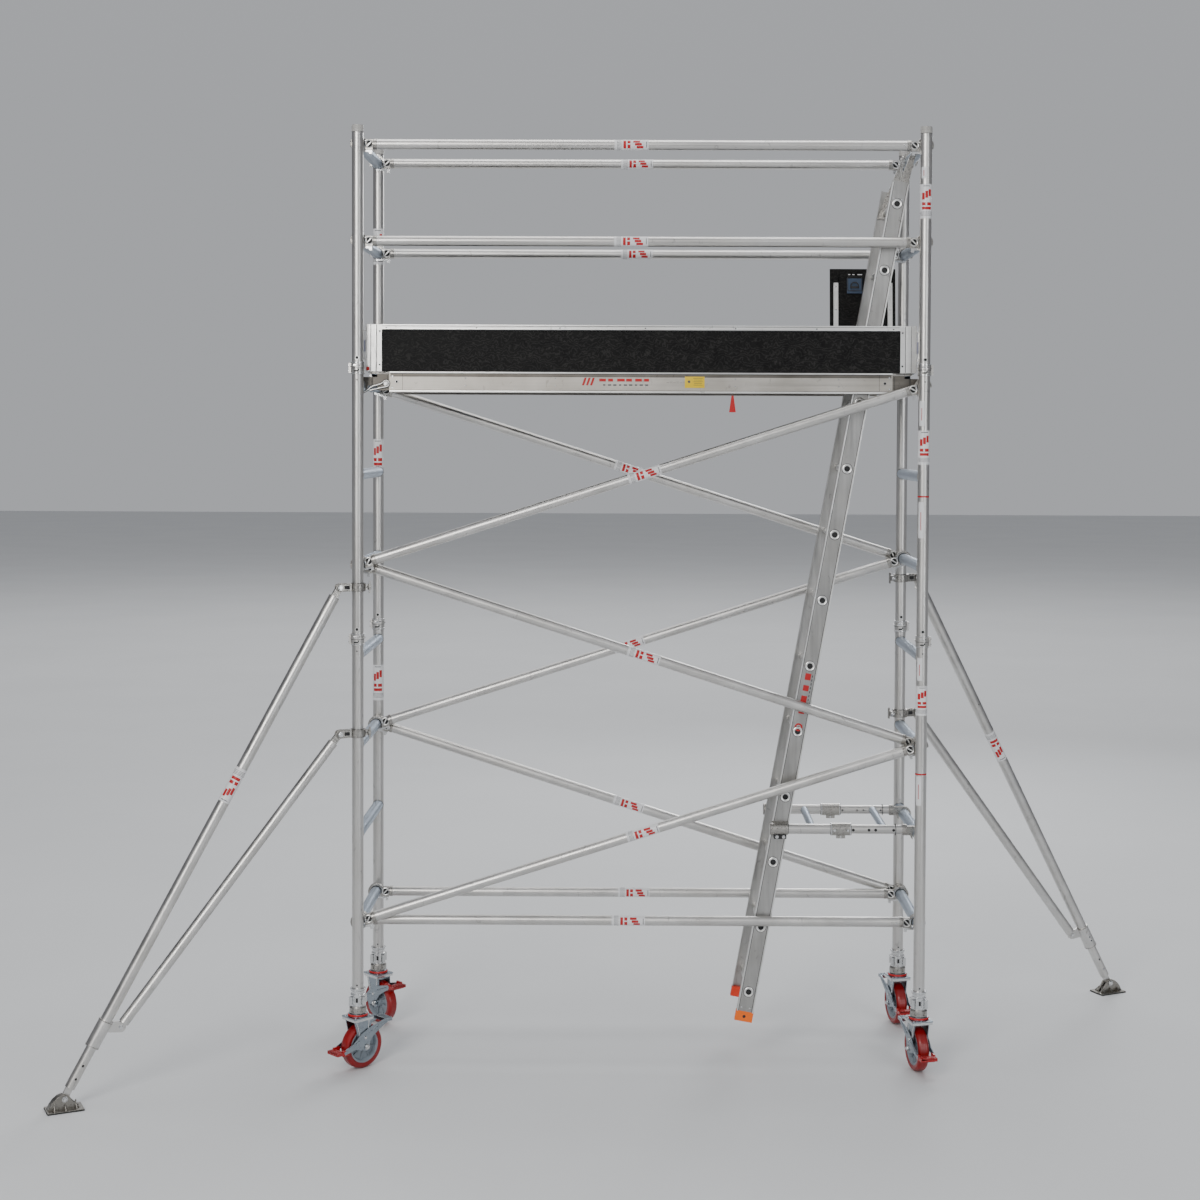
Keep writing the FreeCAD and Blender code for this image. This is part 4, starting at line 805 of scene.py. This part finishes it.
# hatch lid: fixings, latch surround, blank notice
lid_end, lid_pc, notice = pieces("hatch_lid", hatch_trim_ends="film", hatch_lid_screws="steel",
                                 hatch_lid_notice="label")
LID_AXES = (X, LID_FRONT, LID_UP)
TRIM_X = (0.921, 1.176)
face_board = lid_front - 0.012


def on_lid(x, up, out=0.0):
    """Point on the lid's underside: up from the hinge, out from its face."""
    return V((x, HINGE.y, HINGE.z)) + LID_UP * up + LID_FRONT * (face_board + out)


for x in TRIM_X:
    lid_end.block(on_lid(x, 0.4655, 0.0064), (0.0236, 0.0136, 0.0540), LID_AXES, 0.0008)
    for up in (0.03, 0.17, 0.31, 0.420):
        lid_pc.stud(on_lid(x, up, 0.012), LID_FRONT, 0.001, 0.0014, 0.0040)
for x in (0.985, 1.005, 1.035):
    p = on_lid(x, 0.4795, 0.0002)
    notice.block(p, (0.022 if x == 1.035 else 0.010, 0.0005, 0.004), LID_AXES, 0.0001)
finish(lid_end, lid_pc, notice)
latch = Piece("latch_trim", "hatch_latch", "black")
q0 = on_lid(1.010, 0.434, 0.008)
for dx, du, w, h in ((0, 0.033, 0.066, 0.003), (0, -0.033, 0.066, 0.003),
                     (-0.033, 0, 0.003, 0.066), (0.033, 0, 0.003, 0.066)):
    latch.block(q0 + X * dx + LID_UP * du, (w, 0.0016, h), LID_AXES, 0.0005)
latch.lathe(q0 - LID_UP * 0.010, LID_FRONT, [(0, 0.0150), (0, 0.0200), (0.0010, 0.0200),
                                             (0.0010, 0.0150), (0, 0.0150)], 28, 0, math.pi, X)
latch.block(q0 - LID_UP * 0.016, (0.040, 0.0016, 0.010), LID_AXES, 0.0003)
latch.done()

# pull tag and wind clip fittings
tagp = Piece("pull_tag_crease", "pull_tag", "mark")
tagp.block((0.409, -0.2757, 2.958), (0.002, 0.0006, 0.050), c=0.0002)
tagp.block((0.409, -0.2757, 2.990), (0.009, 0.0012, 0.006), c=0.0004)
tagp.done()
clip = Piece("wind_clip_wire", "wind_lock_clip", "white_alu")
EYE_X, EYE_Z, EYE_R = -1.133, 3.055, 0.0135
eye = [(EYE_X + EYE_R * math.cos(a), EYE_Z + EYE_R * math.sin(a))
       for a in (math.radians(t) for t in (-75, -30, 15, 60, 105, 150))]
clip_path = ([(-1.205, 3.0245), (-1.165, 3.034)] + eye + [(-1.158, 3.053), (-1.196, 3.041),
             (-1.214, 3.027), (-1.244, 3.0095)])
clip.wire([(x, -0.2890, z) for x, z in clip_path], 0.0034, 12)
clip.lathe((EYE_X, -0.2845, EYE_Z), -Y, [(0, 0.0044), (0, 0.0108), (0.0022, 0.0112),
                                          (0.0046, 0.0108), (0.0046, 0.0044), (0, 0.0044)], 32)
clip_ob = clip.done()
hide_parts("wind_lock_clip")
under = Piece("wind_clip_shadow", "wind_lock_clip", "dark")
under.wire([(x, -0.2866, z) for x, z in clip_path], 0.0052, 12)
under.done()
wc = Piece("wind_clip_bolt", "tower", "steel")
wc.hexagon((EYE_X, -BEAM_Y - 0.009, EYE_Z), -Y, 0.010, 0.005, 0.003)
wc.done()

# ------------------------------------------------------------- ladder
lad_mark, lad_grey, lad_lip, lad_dark, lad_riv, lad_eye, lad_hole, foot_mark = pieces(
    "tower", ladder_marks="mark", ladder_small_print="mark_grey", ladder_stile_lips="white_alu",
    ladder_seams="dark", ladder_rivets="steel", ladder_rung_eyes="white_alu",
    ladder_rung_bores="dark", ladder_foot_insets="black")
STILES = ((-0.230, -1), (0.150, 1))  # middle of each stile across the bay, and its outer side
STILE_HALF = 0.0125
STILE_MID, STILE_LONG, RUNG_STEP = 1.80, 3.785, 0.3
LADDER_AXES = (OUT, Y, UP)


def lad(run, side, y):
    return RUNG0 + UP * run + OUT * side + V((0, y, 0))


for y, sy in STILES:
    yo, n = y + sy * STILE_HALF, Y * sy
    for side in (-0.0345, 0.0345):
        lad_lip.block(lad(STILE_MID, side, yo + sy * 0.0010), (0.0060, 0.0030, STILE_LONG),
                      LADDER_AXES, 0.0009)
    for side in (-0.0300, 0.0300):
        lad_dark.block(lad(STILE_MID, side, yo + sy * 0.0003), (0.0020, 0.0008, STILE_LONG),
                       LADDER_AXES, 0.0002)
    for k in range(13):
        p = lad(RUNG_STEP * k, 0, yo)
        lad_eye.lathe(p, n, [(0.0, 0.0222), (0.0030, 0.0218), (0.0042, 0.0190), (0.0032, 0.0156),
                             (0.0, 0.0138)], 36)
        # painted shadow ring round each rung's eye
        lad_dark.lathe(p, n, [(0.0, 0.0222), (0.0008, 0.0222), (0.0008, 0.0240), (0.0, 0.0240)],
                       36)
        lad_hole.stud(p, n, 0.004, -0.0012, 0.0146, 30, 0.0001)
    for run in (-0.072, 3.62):
        for side in (-0.018, 0.018):
            lad_riv.stud(lad(run, side, yo), n, 0.001, 0.0018, 0.0042)
# generic run of red blocks up the near stile, a ring and a dot under it
yo = STILES[0][0] - STILE_HALF
p = lad(1.22, 0, yo)
lad_mark.lathe(p, -Y, [(0, 0.018), (0.0005, 0.018), (0.0005, 0.011), (0, 0.011)], 28)
lad_mark.lathe(p, -Y, [(0, 0), (0, 0.005), (0.0005, 0.005), (0.0005, 0)], 20)
for k, w in enumerate((0.026, 0.034, 0.026, 0.030, 0.022)):
    run = 1.295 + 0.052 * k
    if not 0.03 <= run % RUNG_STEP <= RUNG_STEP - 0.03:  # a rung's eye is there
        continue
    lad_mark.block(lad(run, 0.0, yo - 0.0001), (0.026, 0.0006, w), LADDER_AXES, 0.0001)
for k in range(8):
    lad_grey.block(lad(1.33 + 0.018 * k, 0.020, yo - 0.0001), (0.0045, 0.0006, 0.010),
                   LADDER_AXES, 0.0001)
# ladder foot inserts
for y, sy in STILES:
    p = lad(-0.113, 0, y + sy * 0.0137)
    foot_mark.lathe(p, Y * sy, [(0, 0), (0, 0.0070), (0.0004, 0.0070), (0.0004, 0)], 18)
    foot_mark.block(lad(-0.134, 0, y), (0.070, 0.022, 0.0030), LADDER_AXES, 0.0006)
finish(lad_mark, lad_grey, lad_lip, lad_dark, lad_riv, lad_eye, lad_hole, foot_mark)

# ladder bracket: knobs, pins and rivets on its clamps
br, br_dark, br_cast = pieces("tower", bracket_pins="steel", bracket_holes="dark",
                              bracket_bosses="cast")
BX, BZ = 0.905, 1.068  # stile clamp of the bracket
for y, sy in ((-0.270, -1), (0.190, 1)):
    f = Y * sy
    for dx in (-0.030, 0.030):
        p = V((BX + dx, y, BZ)) + f * 0.0278
        br_cast.stud(p, f, 0.002, 0.003, 0.0090, 24)
        br.hexagon(p + f * 0.003, f, 0.011, 0.004)
    for dx in (-0.045, 0.040):
        br.sleeve((BX + dx, y, BZ), (BX + dx + 0.005, y, BZ), 0.0278, 0.0290, 44, 0.0006)
    br.stud((BX, y, BZ - 0.033), Y, 0.011, 0.011, 0.0050, 20)
    br_cast.sleeve((0.590, y, BZ), (0.670, y, BZ), 0.0224, 0.0268, 48, 0.0022)
    # painted shadow ring at the boss's end
    br_dark.sleeve((0.6695, y, BZ), (0.6712, y, BZ), 0.0224, 0.0236, 48, 0.0002)
    br_dark.block(V((0.634, y + sy * -0.002, BZ - 0.034)), (0.056, 0.030, 0.020), c=0.003)
    # painted shadow rings at both ends of each clamp
    for x in (0.5885, 0.8590, 0.9505, 1.1490):
        br_dark.sleeve((x, y, BZ), (x + 0.0015, y, BZ), 0.0180, 0.0262, 48, 0.0002)
    for dx in (-0.015, 0.015):
        br.hexagon(V((0.634 + dx, y + sy * 0.013, BZ - 0.034)), f, 0.012, 0.005, 0.002)
    for x in (0.960, 1.030, 1.060, 1.140):
        br_dark.stud((x, y, BZ), f, -0.0165, 0.0212, 0.0064, 18, 0.0001)
finish(br, br_dark, br_cast)

# ------------------------------------------------------------- castors
for c in CORNERS:
    seal = Piece(f"dust_seal_{c}", f"castor_fork_{c}", "red_seal")
    seal.lathe(corner(c) + V((0, 0, 0.2395)), Z, [(0, 0.0422), (0.001, 0.0445), (0.0045, 0.0452),
                                                  (0.008, 0.0440), (0.0095, 0.0422)], 56)
    seal.done()
    st, zn = pieces(f"castor_fork_{c}", f"_{c}", fork_bolts="steel", fork_ribs="steel")
    xd, yd = turned_dir(c, 1, 0, 0), turned_dir(c, 0, 1, 0)
    axes = (xd, yd, Z)
    for s in (-1, 1):
        n = yd * s
        ax = turned(c, AXLE[0], s * (FORK_FACE + 0.007), AXLE[2])
        st.hexagon(ax, n, 0.019, 0.006, 0.003)
        st.rod(ax + n * 0.0060, ax + n * 0.0105, 0.0050, 20)
        pv = turned(c, -0.012, s * (FORK_FACE + 0.0036), 0.143)
        st.hexagon(pv, n, 0.013, 0.0040, 0.0015)
        # pressed ribs that stiffen each leg of the fork, in bright steel as a painted highlight
        # along the plate's edges
        for x0, x1, z1, bow in ((-0.036, -0.030, 0.128, 0.002), (0.036, 0.014, 0.150, -0.001)):
            a = turned(c, x0, s * FORK_FACE, 0.222)
            b = turned(c, x1, s * FORK_FACE, z1)
            zn.wire([a, a.lerp(b, 0.5) + xd * bow, b], 0.0028, 10)
    for dx in (-0.040, 0.040):
        for dy in (-0.036, 0.036):
            p = turned(c, dx, dy, 0.238)
            st.stud(p, Z, 0, 0.0022, 0.0048, 18)
    # turned-down lips of the top plate, in bright steel as a painted edge highlight
    for s in (-1, 1):
        zn.block(turned(c, 0, s * 0.0468, 0.2270), (0.100, 0.0024, 0.012), axes, 0.0010)
        zn.block(turned(c, s * 0.0518, 0, 0.2275), (0.0024, 0.090, 0.011), axes, 0.0010)
    finish(st, zn)
    # wheel: hub ribs, bead grooves, moulded lines
    wh = Piece(f"hub_ribs_{c}", f"castor_wheel_{c}", "hub")
    wg = Piece(f"tyre_bands_{c}", f"castor_wheel_{c}", "red_tyre")
    ctr = turned(c, *AXLE)
    for s in (-1, 1):
        for k in range(8):
            a = FULL * k / 8 + 0.2
            d = xd * math.cos(a) + Z * math.sin(a)
            tng = -xd * math.sin(a) + Z * math.cos(a)
            wh.block(ctr + d * 0.0425 + yd * (s * 0.0100), (0.037, 0.0045, 0.0075),
                     (d, tng, yd), 0.0012)
        wh.lathe(ctr + yd * (s * 0.0205), yd * s, [(0, 0.0745), (0.0012, 0.0735), (0.0014, 0.0695),
                                                   (0, 0.0685)], 60)
        wg.lathe(ctr + yd * (s * 0.0222), yd * s, [(0, 0.0790), (0.0016, 0.0805),
                                                   (0.0018, 0.0835), (0.0005, 0.0850)], 64)
        wg.lathe(ctr + yd * (s * 0.006), yd, [(-0.0016, 0.1000), (-0.0009, 0.1004),
                                               (0.0009, 0.1004), (0.0016, 0.1000)], 72)
    finish(wh, wg)
    # brake: pressed rib on each pedal and the pivot boss
    bk, bz = pieces(f"castor_brake_{c}", f"_{c}", brake_pads="red_paint", brake_arms="zinc")
    for px, pz, away in ((0.105, 0.092, 1), (-0.130, 0.195, -1)):
        red = (away > 0) != (c == "bl")
        pad = bk if red else bz
        for k in range(4):
            x = px + away * (0.006 + 0.0075 * k)
            pad.block(turned(c, x, 0, pz + 0.0086), (0.0030, 0.062, 0.0024), axes, 0.0009)
        pad.block(turned(c, px + away * 0.0325, 0, pz + 0.0035), (0.0030, 0.070, 0.0090),
                  axes, 0.0012)
        if red:
            # moulded hood that wraps the pedal's end and reaches back over the tyre
            for s in (-1, 1):
                bk.block(turned(c, px - away * 0.012, s * 0.0345, pz + 0.002),
                         (0.036, 0.0095, 0.026), axes, 0.0040)
            bk.block(turned(c, px + away * 0.014, 0, pz - 0.0065), (0.030, 0.060, 0.0060),
                     axes, 0.0026)
    # pressed side plate: deep at the pivot, drawn in towards each pedal
    for s in (-1, 1):
        plate = [(-0.128, 0.186), (-0.060, 0.146), (-0.020, 0.098), (0.012, 0.088), (0.040, 0.099),
                 (0.098, 0.086), (0.104, 0.098), (0.050, 0.128), (0.014, 0.160), (-0.040, 0.186),
                 (-0.124, 0.205), (-0.133, 0.198)]
        if s > 0:
            plate = plate[::-1]
        bz.prism([(u * s, v) for u, v in plate], turned(c, 0, s * 0.0383, 0), xd * s, Z,
                 -0.0016)
        for x0, z0, x1, z1 in ((-0.112, 0.192, -0.030, 0.160), (0.010, 0.140, 0.084, 0.104)):
            bz.wire([turned(c, x0, s * 0.0400, z0),
                     turned(c, (x0 + x1) / 2, s * 0.0400, (z0 + z1) / 2),
                     turned(c, x1, s * 0.0400, z1)], 0.0022, 10)
        ctrp = turned(c, -0.012, s * 0.0383, 0.143)
        bz.lathe(ctrp, yd * s, [(0, 0.0095), (0.0014, 0.0092), (0.0016, 0.0068), (0, 0.0062)], 30)
    finish(bk, bz)
    # adjuster nut: bands, ribs between slots, pin
    nt, nr, nd = pieces("tower", f"_{c}", nut_bands="steel", nut_ribs="steel",
                        nut_slots="dark")
    at = corner(c)
    nt.hoop(at, 0.3365, 0.3400, 0.0284, 0.0300, c=0.0006)
    nt.hoop(at, 0.3500, 0.3530, 0.0284, 0.0312, c=0.0006)
    nt.hoop(at, 0.3585, 0.3625, 0.0254, 0.0346, c=0.0010)
    nt.hoop(at, 0.2850, 0.2885, 0.0318, 0.0334, c=0.0008)
    for k in range(8):
        a = FULL * (k + 0.5) / 8
        d = V((math.cos(a), math.sin(a), 0))
        tng = V((-d.y, d.x, 0))
        nr.block(at + d * 0.0325 + Z * 0.3100, (0.0046, 0.0095, 0.034), (d, tng, Z), 0.0016)
    for k in range(4):
        a = math.radians(90 * k)
        d = V((math.cos(a), math.sin(a), 0))
        tng = V((-d.y, d.x, 0))
        nd.block(at + d * 0.0320 + Z * 0.312, (0.0016, 0.010, 0.020), (d, tng, Z), 0.0003)
    nd.rod(at + V((0, -0.0262, 0.378)), at + V((0, -0.0250, 0.378)), 0.0036, 16, 0.0001)
    finish(nt, nr, nd)

# ------------------------------------------------------------- outriggers
A26 = math.radians(26)
FOOT_X, FOOT_Z = 1.280, 0.050  # the foot's pivot in its outrigger's own frame
CLAMP_RIM = ((0.040, 0.013), (0.062, 0.015), (0.086, 0.0165), (0.099, 0.006))
for name, turn, sx, sy in (("front", math.pi + A26, -1, -1), ("back", A26, 1, 1)):
    base = V((sx * HB, sy * HW, 0))
    R = Matrix.Rotation(turn, 3, "Z")

    def g(x, y, z):
        return base + R @ V((x, y, z))

    side_y = R @ Y
    fwd = R @ X
    axes = (fwd, side_y, Z)
    top, foot = V((0.085, 0, 2.152)), V((FOOT_X, 0, FOOT_Z))
    along = (foot - top).normalized()
    run = (foot - top).length
    across = V((along.z, 0, -along.x))
    body, tail = f"outrigger_{name}", f"_{name}"
    lb, mk, gr = pieces(body, tail, outrigger_labels="label", outrigger_marks="mark",
                        outrigger_rules="mark_grey")
    wrap(lb, mk, gr, g(*(top + along * (run * 0.40))), R @ along, 0.025, 0.16)
    finish(lb, mk, gr, angle=20)
    st, dk, ca = pieces(body, tail, outrigger_bolts="steel", outrigger_holes="dark",
                        outrigger_rings="cast")
    for z in (2.152, 1.503):
        for s in (-1, 1):
            n = side_y * s
            q = g(0.085, s * 0.0210, z)
            st.hexagon(q, n, 0.017, 0.0062, 0.003)
            dk.block(g(0.053, s * 0.0131, z), (0.024, 0.0008, 0.016), axes, 0.0002)
            for up in (1, -1):
                ca.wire([g(x, s * 0.0130, z + up * h) for x, h in CLAMP_RIM], 0.0022, 8)
        for dz in (-0.0175, 0.0145):
            ca.sleeve(g(0, 0, z + dz), g(0, 0, z + dz + 0.003), 0.0343, 0.0353, 44, 0.0006)
        # painted shadow rings where each clamp meets the tube
        for dz in (-0.0190, 0.0180):
            dk.sleeve(g(0, 0, z + dz), g(0, 0, z + dz + 0.0010), 0.0256, 0.0285, 44, 0.0001)
        dk.block(g(0, -0.0343, z), (0.0016, 0.0012, 0.030), axes, 0.0002)
        dk.block(g(-0.040, 0.0, z), (0.030, 0.0270, 0.0022), axes, 0.0002)
        st.rod(g(-0.048, -0.013, z), g(-0.048, -0.026, z), 0.0050, 18)
        st.hexagon(g(-0.048, -0.013, z), -side_y, 0.014, 0.006, 0.003)
    for frac in (0.855, 0.902):
        q = top + along * (run * frac)
        ca.sleeve(g(*q), g(*(q + along * 0.004)), 0.0298, 0.0312, 48, 0.0008)
    for off in (0.058, 0.080):
        q = top + along * (run * 0.855 + off)
        dk.rod(g(q.x, -0.0290, q.z), g(q.x, -0.0303, q.z), 0.0040, 16, 0.0001)
        st.sleeve(g(q.x, -0.0294, q.z), g(q.x, -0.0308, q.z), 0.0040, 0.0062, 20, 0.0003)
    # bolts of the strut link
    end = top + along * (run * 0.855) + across * 0.070
    for s in (-1, 1):
        st.hexagon(g(end.x, s * 0.007, end.z), side_y * s, 0.014, 0.006, 0.003)
    q = top + along * (run * 0.30)
    dk.rod(g(q.x, -0.0242, q.z), g(q.x, -0.0252, q.z), 0.0030, 14, 0.0001)
    finish(st, dk, ca)
    lg, lgd = pieces(f"outrigger_leg_{name}", tail, leg_button="steel", leg_holes="dark")
    q = foot - along * 0.090  # low enough to stay outside the outer tube
    lg.lathe(g(q.x, -0.0200, q.z), -side_y, [(0, 0.0048), (0.0030, 0.0046), (0.0042, 0.0032),
                                             (0.0046, 0)], 22)
    lgd.sleeve(g(q.x, -0.0212, q.z), g(q.x, -0.0222, q.z), 0.0050, 0.0062, 20, 0.0001)
    finish(lg, lgd)
    shell, ft, fc, fr = pieces(f"outrigger_foot_{name}", tail, foot_shell="cast_dark",
                               foot_bolt="steel", foot_ribs="cast_dark", foot_sole="rubber")
    for s in (-1, 1):
        ft.hexagon(g(FOOT_X, s * 0.0213, FOOT_Z), side_y * s, 0.017, 0.0065, 0.004)
        for dx in (-0.045, 0.0, 0.045):
            fc.prism([(0, 0), (0.030, 0), (0, 0.026)], g(FOOT_X + dx - 0.0025, s * 0.0132, 0.008),
                     side_y * s, Z, 0.005)
        fc.wire([g(FOOT_X + x, s * 0.0134, z) for x, z in
                 ((-0.054, 0.010), (-0.020, 0.048), (0, 0.0655), (0.020, 0.048), (0.054, 0.010))],
                0.0030, 10)
    fr.block(g(FOOT_X, 0, 0.0030), (0.152, 0.098, 0.0056), axes, 0.0020)
    # cast shell of the foot: a cheek each side and the hood over its toe
    hood = [(0.010, 0.0665), (0.028, 0.0610), (0.046, 0.0470), (0.060, 0.0290), (0.070, 0.0100)]
    heel = [(-0.062, 0.0080), (-0.056, 0.0150), (-0.034, 0.0340), (-0.020, 0.0580),
            (-0.006, 0.0660)]
    across_foot = fwd.cross(Z)
    for s in (-1, 1):
        near = 0.0132 if (side_y * s).dot(across_foot) > 0 else 0.0192
        shell.prism(heel + hood + [(0.070, 0.0080)], g(FOOT_X, s * near, 0), fwd, Z, 0.0060)
        for x, z in ((0.040, 0.030), (-0.030, 0.020)):
            fc.rod(g(FOOT_X + x, s * 0.0190, z), g(FOOT_X + x, s * 0.0205, z), 0.0062, 20)
    start = -0.0130 if side_y.dot(across_foot) > 0 else 0.0130
    inner = [(x - 0.0022, z - 0.0036) for x, z in hood]
    shell.prism(hood + inner[::-1], g(FOOT_X, start, 0), fwd, Z, 0.0260)
    finish(shell, ft, fc, fr)

# ------------------------------------------------------------- studio
floor_me = bpy.data.meshes.new("floor")
fb = bmesh.new()
bmesh.ops.create_grid(fb, x_segments=1, y_segments=1, size=60)
fb.to_mesh(floor_me)
fb.free()
floor = bpy.data.objects.new("floor", floor_me)
floor.location = (0, 0, -0.0005)
bpy.context.scene.collection.objects.link(floor)
mf, tf, bf = new_material("floor_pale")
cf = noise_at(tf, coords(tf), (1, 1, 1), 0.6, 3)
tf.links.new(ramp(tf, cf, [(0.3, (0.66, 0.67, 0.68)), (0.7, (0.69, 0.70, 0.71))]),
             bf.inputs["Base Color"])
bf.inputs["Roughness"].default_value = 0.85
floor_me.materials.append(mf)

# pale studio: brightest in front of the tower and overhead, calmer behind it
world = bpy.data.worlds.new("studio")
bpy.context.scene.world = world
world.use_nodes = True
wt = world.node_tree
bg = wt.nodes["Background"]
wco = wt.nodes.new("ShaderNodeTexCoord")
wsep = wt.nodes.new("ShaderNodeSeparateXYZ")
wt.links.new(wco.outputs["Generated"], wsep.inputs[0])
front = spread(wt, wsep.outputs["Y"], 1.0, 0.0, -0.9, 0.35)
above = spread(wt, wsep.outputs["Z"], 0.0, 0.35, 0.15, 1.0)
total = wt.nodes.new("ShaderNodeMath")
wt.links.new(front, total.inputs[0])
wt.links.new(above, total.inputs[1])
pale = ramp(wt, total.outputs[0], [(0.0, (0.42, 0.43, 0.45)), (1.0, (0.62, 0.63, 0.65))])
# dark flags to the left and right, which draw the shoulders of the bright tubes
sideways = wt.nodes.new("ShaderNodeMath")
sideways.operation = "ABSOLUTE"
wt.links.new(wsep.outputs["X"], sideways.inputs[0])
flags = ramp(wt, sideways.outputs[0], [(0.36, (1, 1, 1)), (0.66, (0.26, 0.26, 0.27)),
                                       (0.90, (0.26, 0.26, 0.27)), (1.0, (0.6, 0.6, 0.62))])
wt.links.new(multiply(wt, pale, flags), bg.inputs[0])
bg.inputs[1].default_value = 1.0


def lamp(name, at, to, size, power, colour=(1, 1, 1)):
    data = bpy.data.lights.new(name, "AREA")
    data.shape = "RECTANGLE"
    data.size, data.size_y = size
    data.energy = power
    data.color = colour
    ob = bpy.data.objects.new(name, data)
    ob.location = at
    ob.rotation_euler = (V(to) - V(at)).to_track_quat("-Z", "Y").to_euler()
    bpy.context.scene.collection.objects.link(ob)
    return ob


lamp("key", (-3.6, -8.6, 5.6), (0, 0, 2.1), (3.0, 4.6), 430, (1, 0.985, 0.96))
lamp("fill", (5.5, -8.0, 3.2), (0, 0, 2.0), (2.0, 4.6), 130, (0.95, 0.98, 1))
lamp("top", (0, 0.5, 8.5), (0, 0, 0), (5.0, 3.0), 190)
lamp("far", (0, 16.0, 12.0), (0, 16.0, 0), (22.0, 16.0), 1500)
lamp("back", (2.5, 7.5, 5.5), (0, 0, 2.4), (3.0, 3.0), 200, (0.96, 0.98, 1))

cam_data = bpy.data.cameras.new("photo_view")
cam = bpy.data.objects.new("photo_view", cam_data)
bpy.context.scene.collection.objects.link(cam)
cam_data.sensor_width = 36.0
cam_data.lens = 58.52
cam_data.shift_x = -0.0177
cam_data.shift_y = -0.0871
cam_data.clip_end = 200
yaw, pitch, roll = -0.0063, 0.0319, 0.0041
rot = (Matrix.Rotation(-yaw, 3, "Z") @ Matrix.Rotation(math.pi / 2 - pitch, 3, "X")
       @ Matrix.Rotation(roll, 3, "Z"))
cam.matrix_world = Matrix.Translation((-0.0298, -8.970, 2.8379)) @ rot.to_4x4()
bpy.context.scene.camera = cam
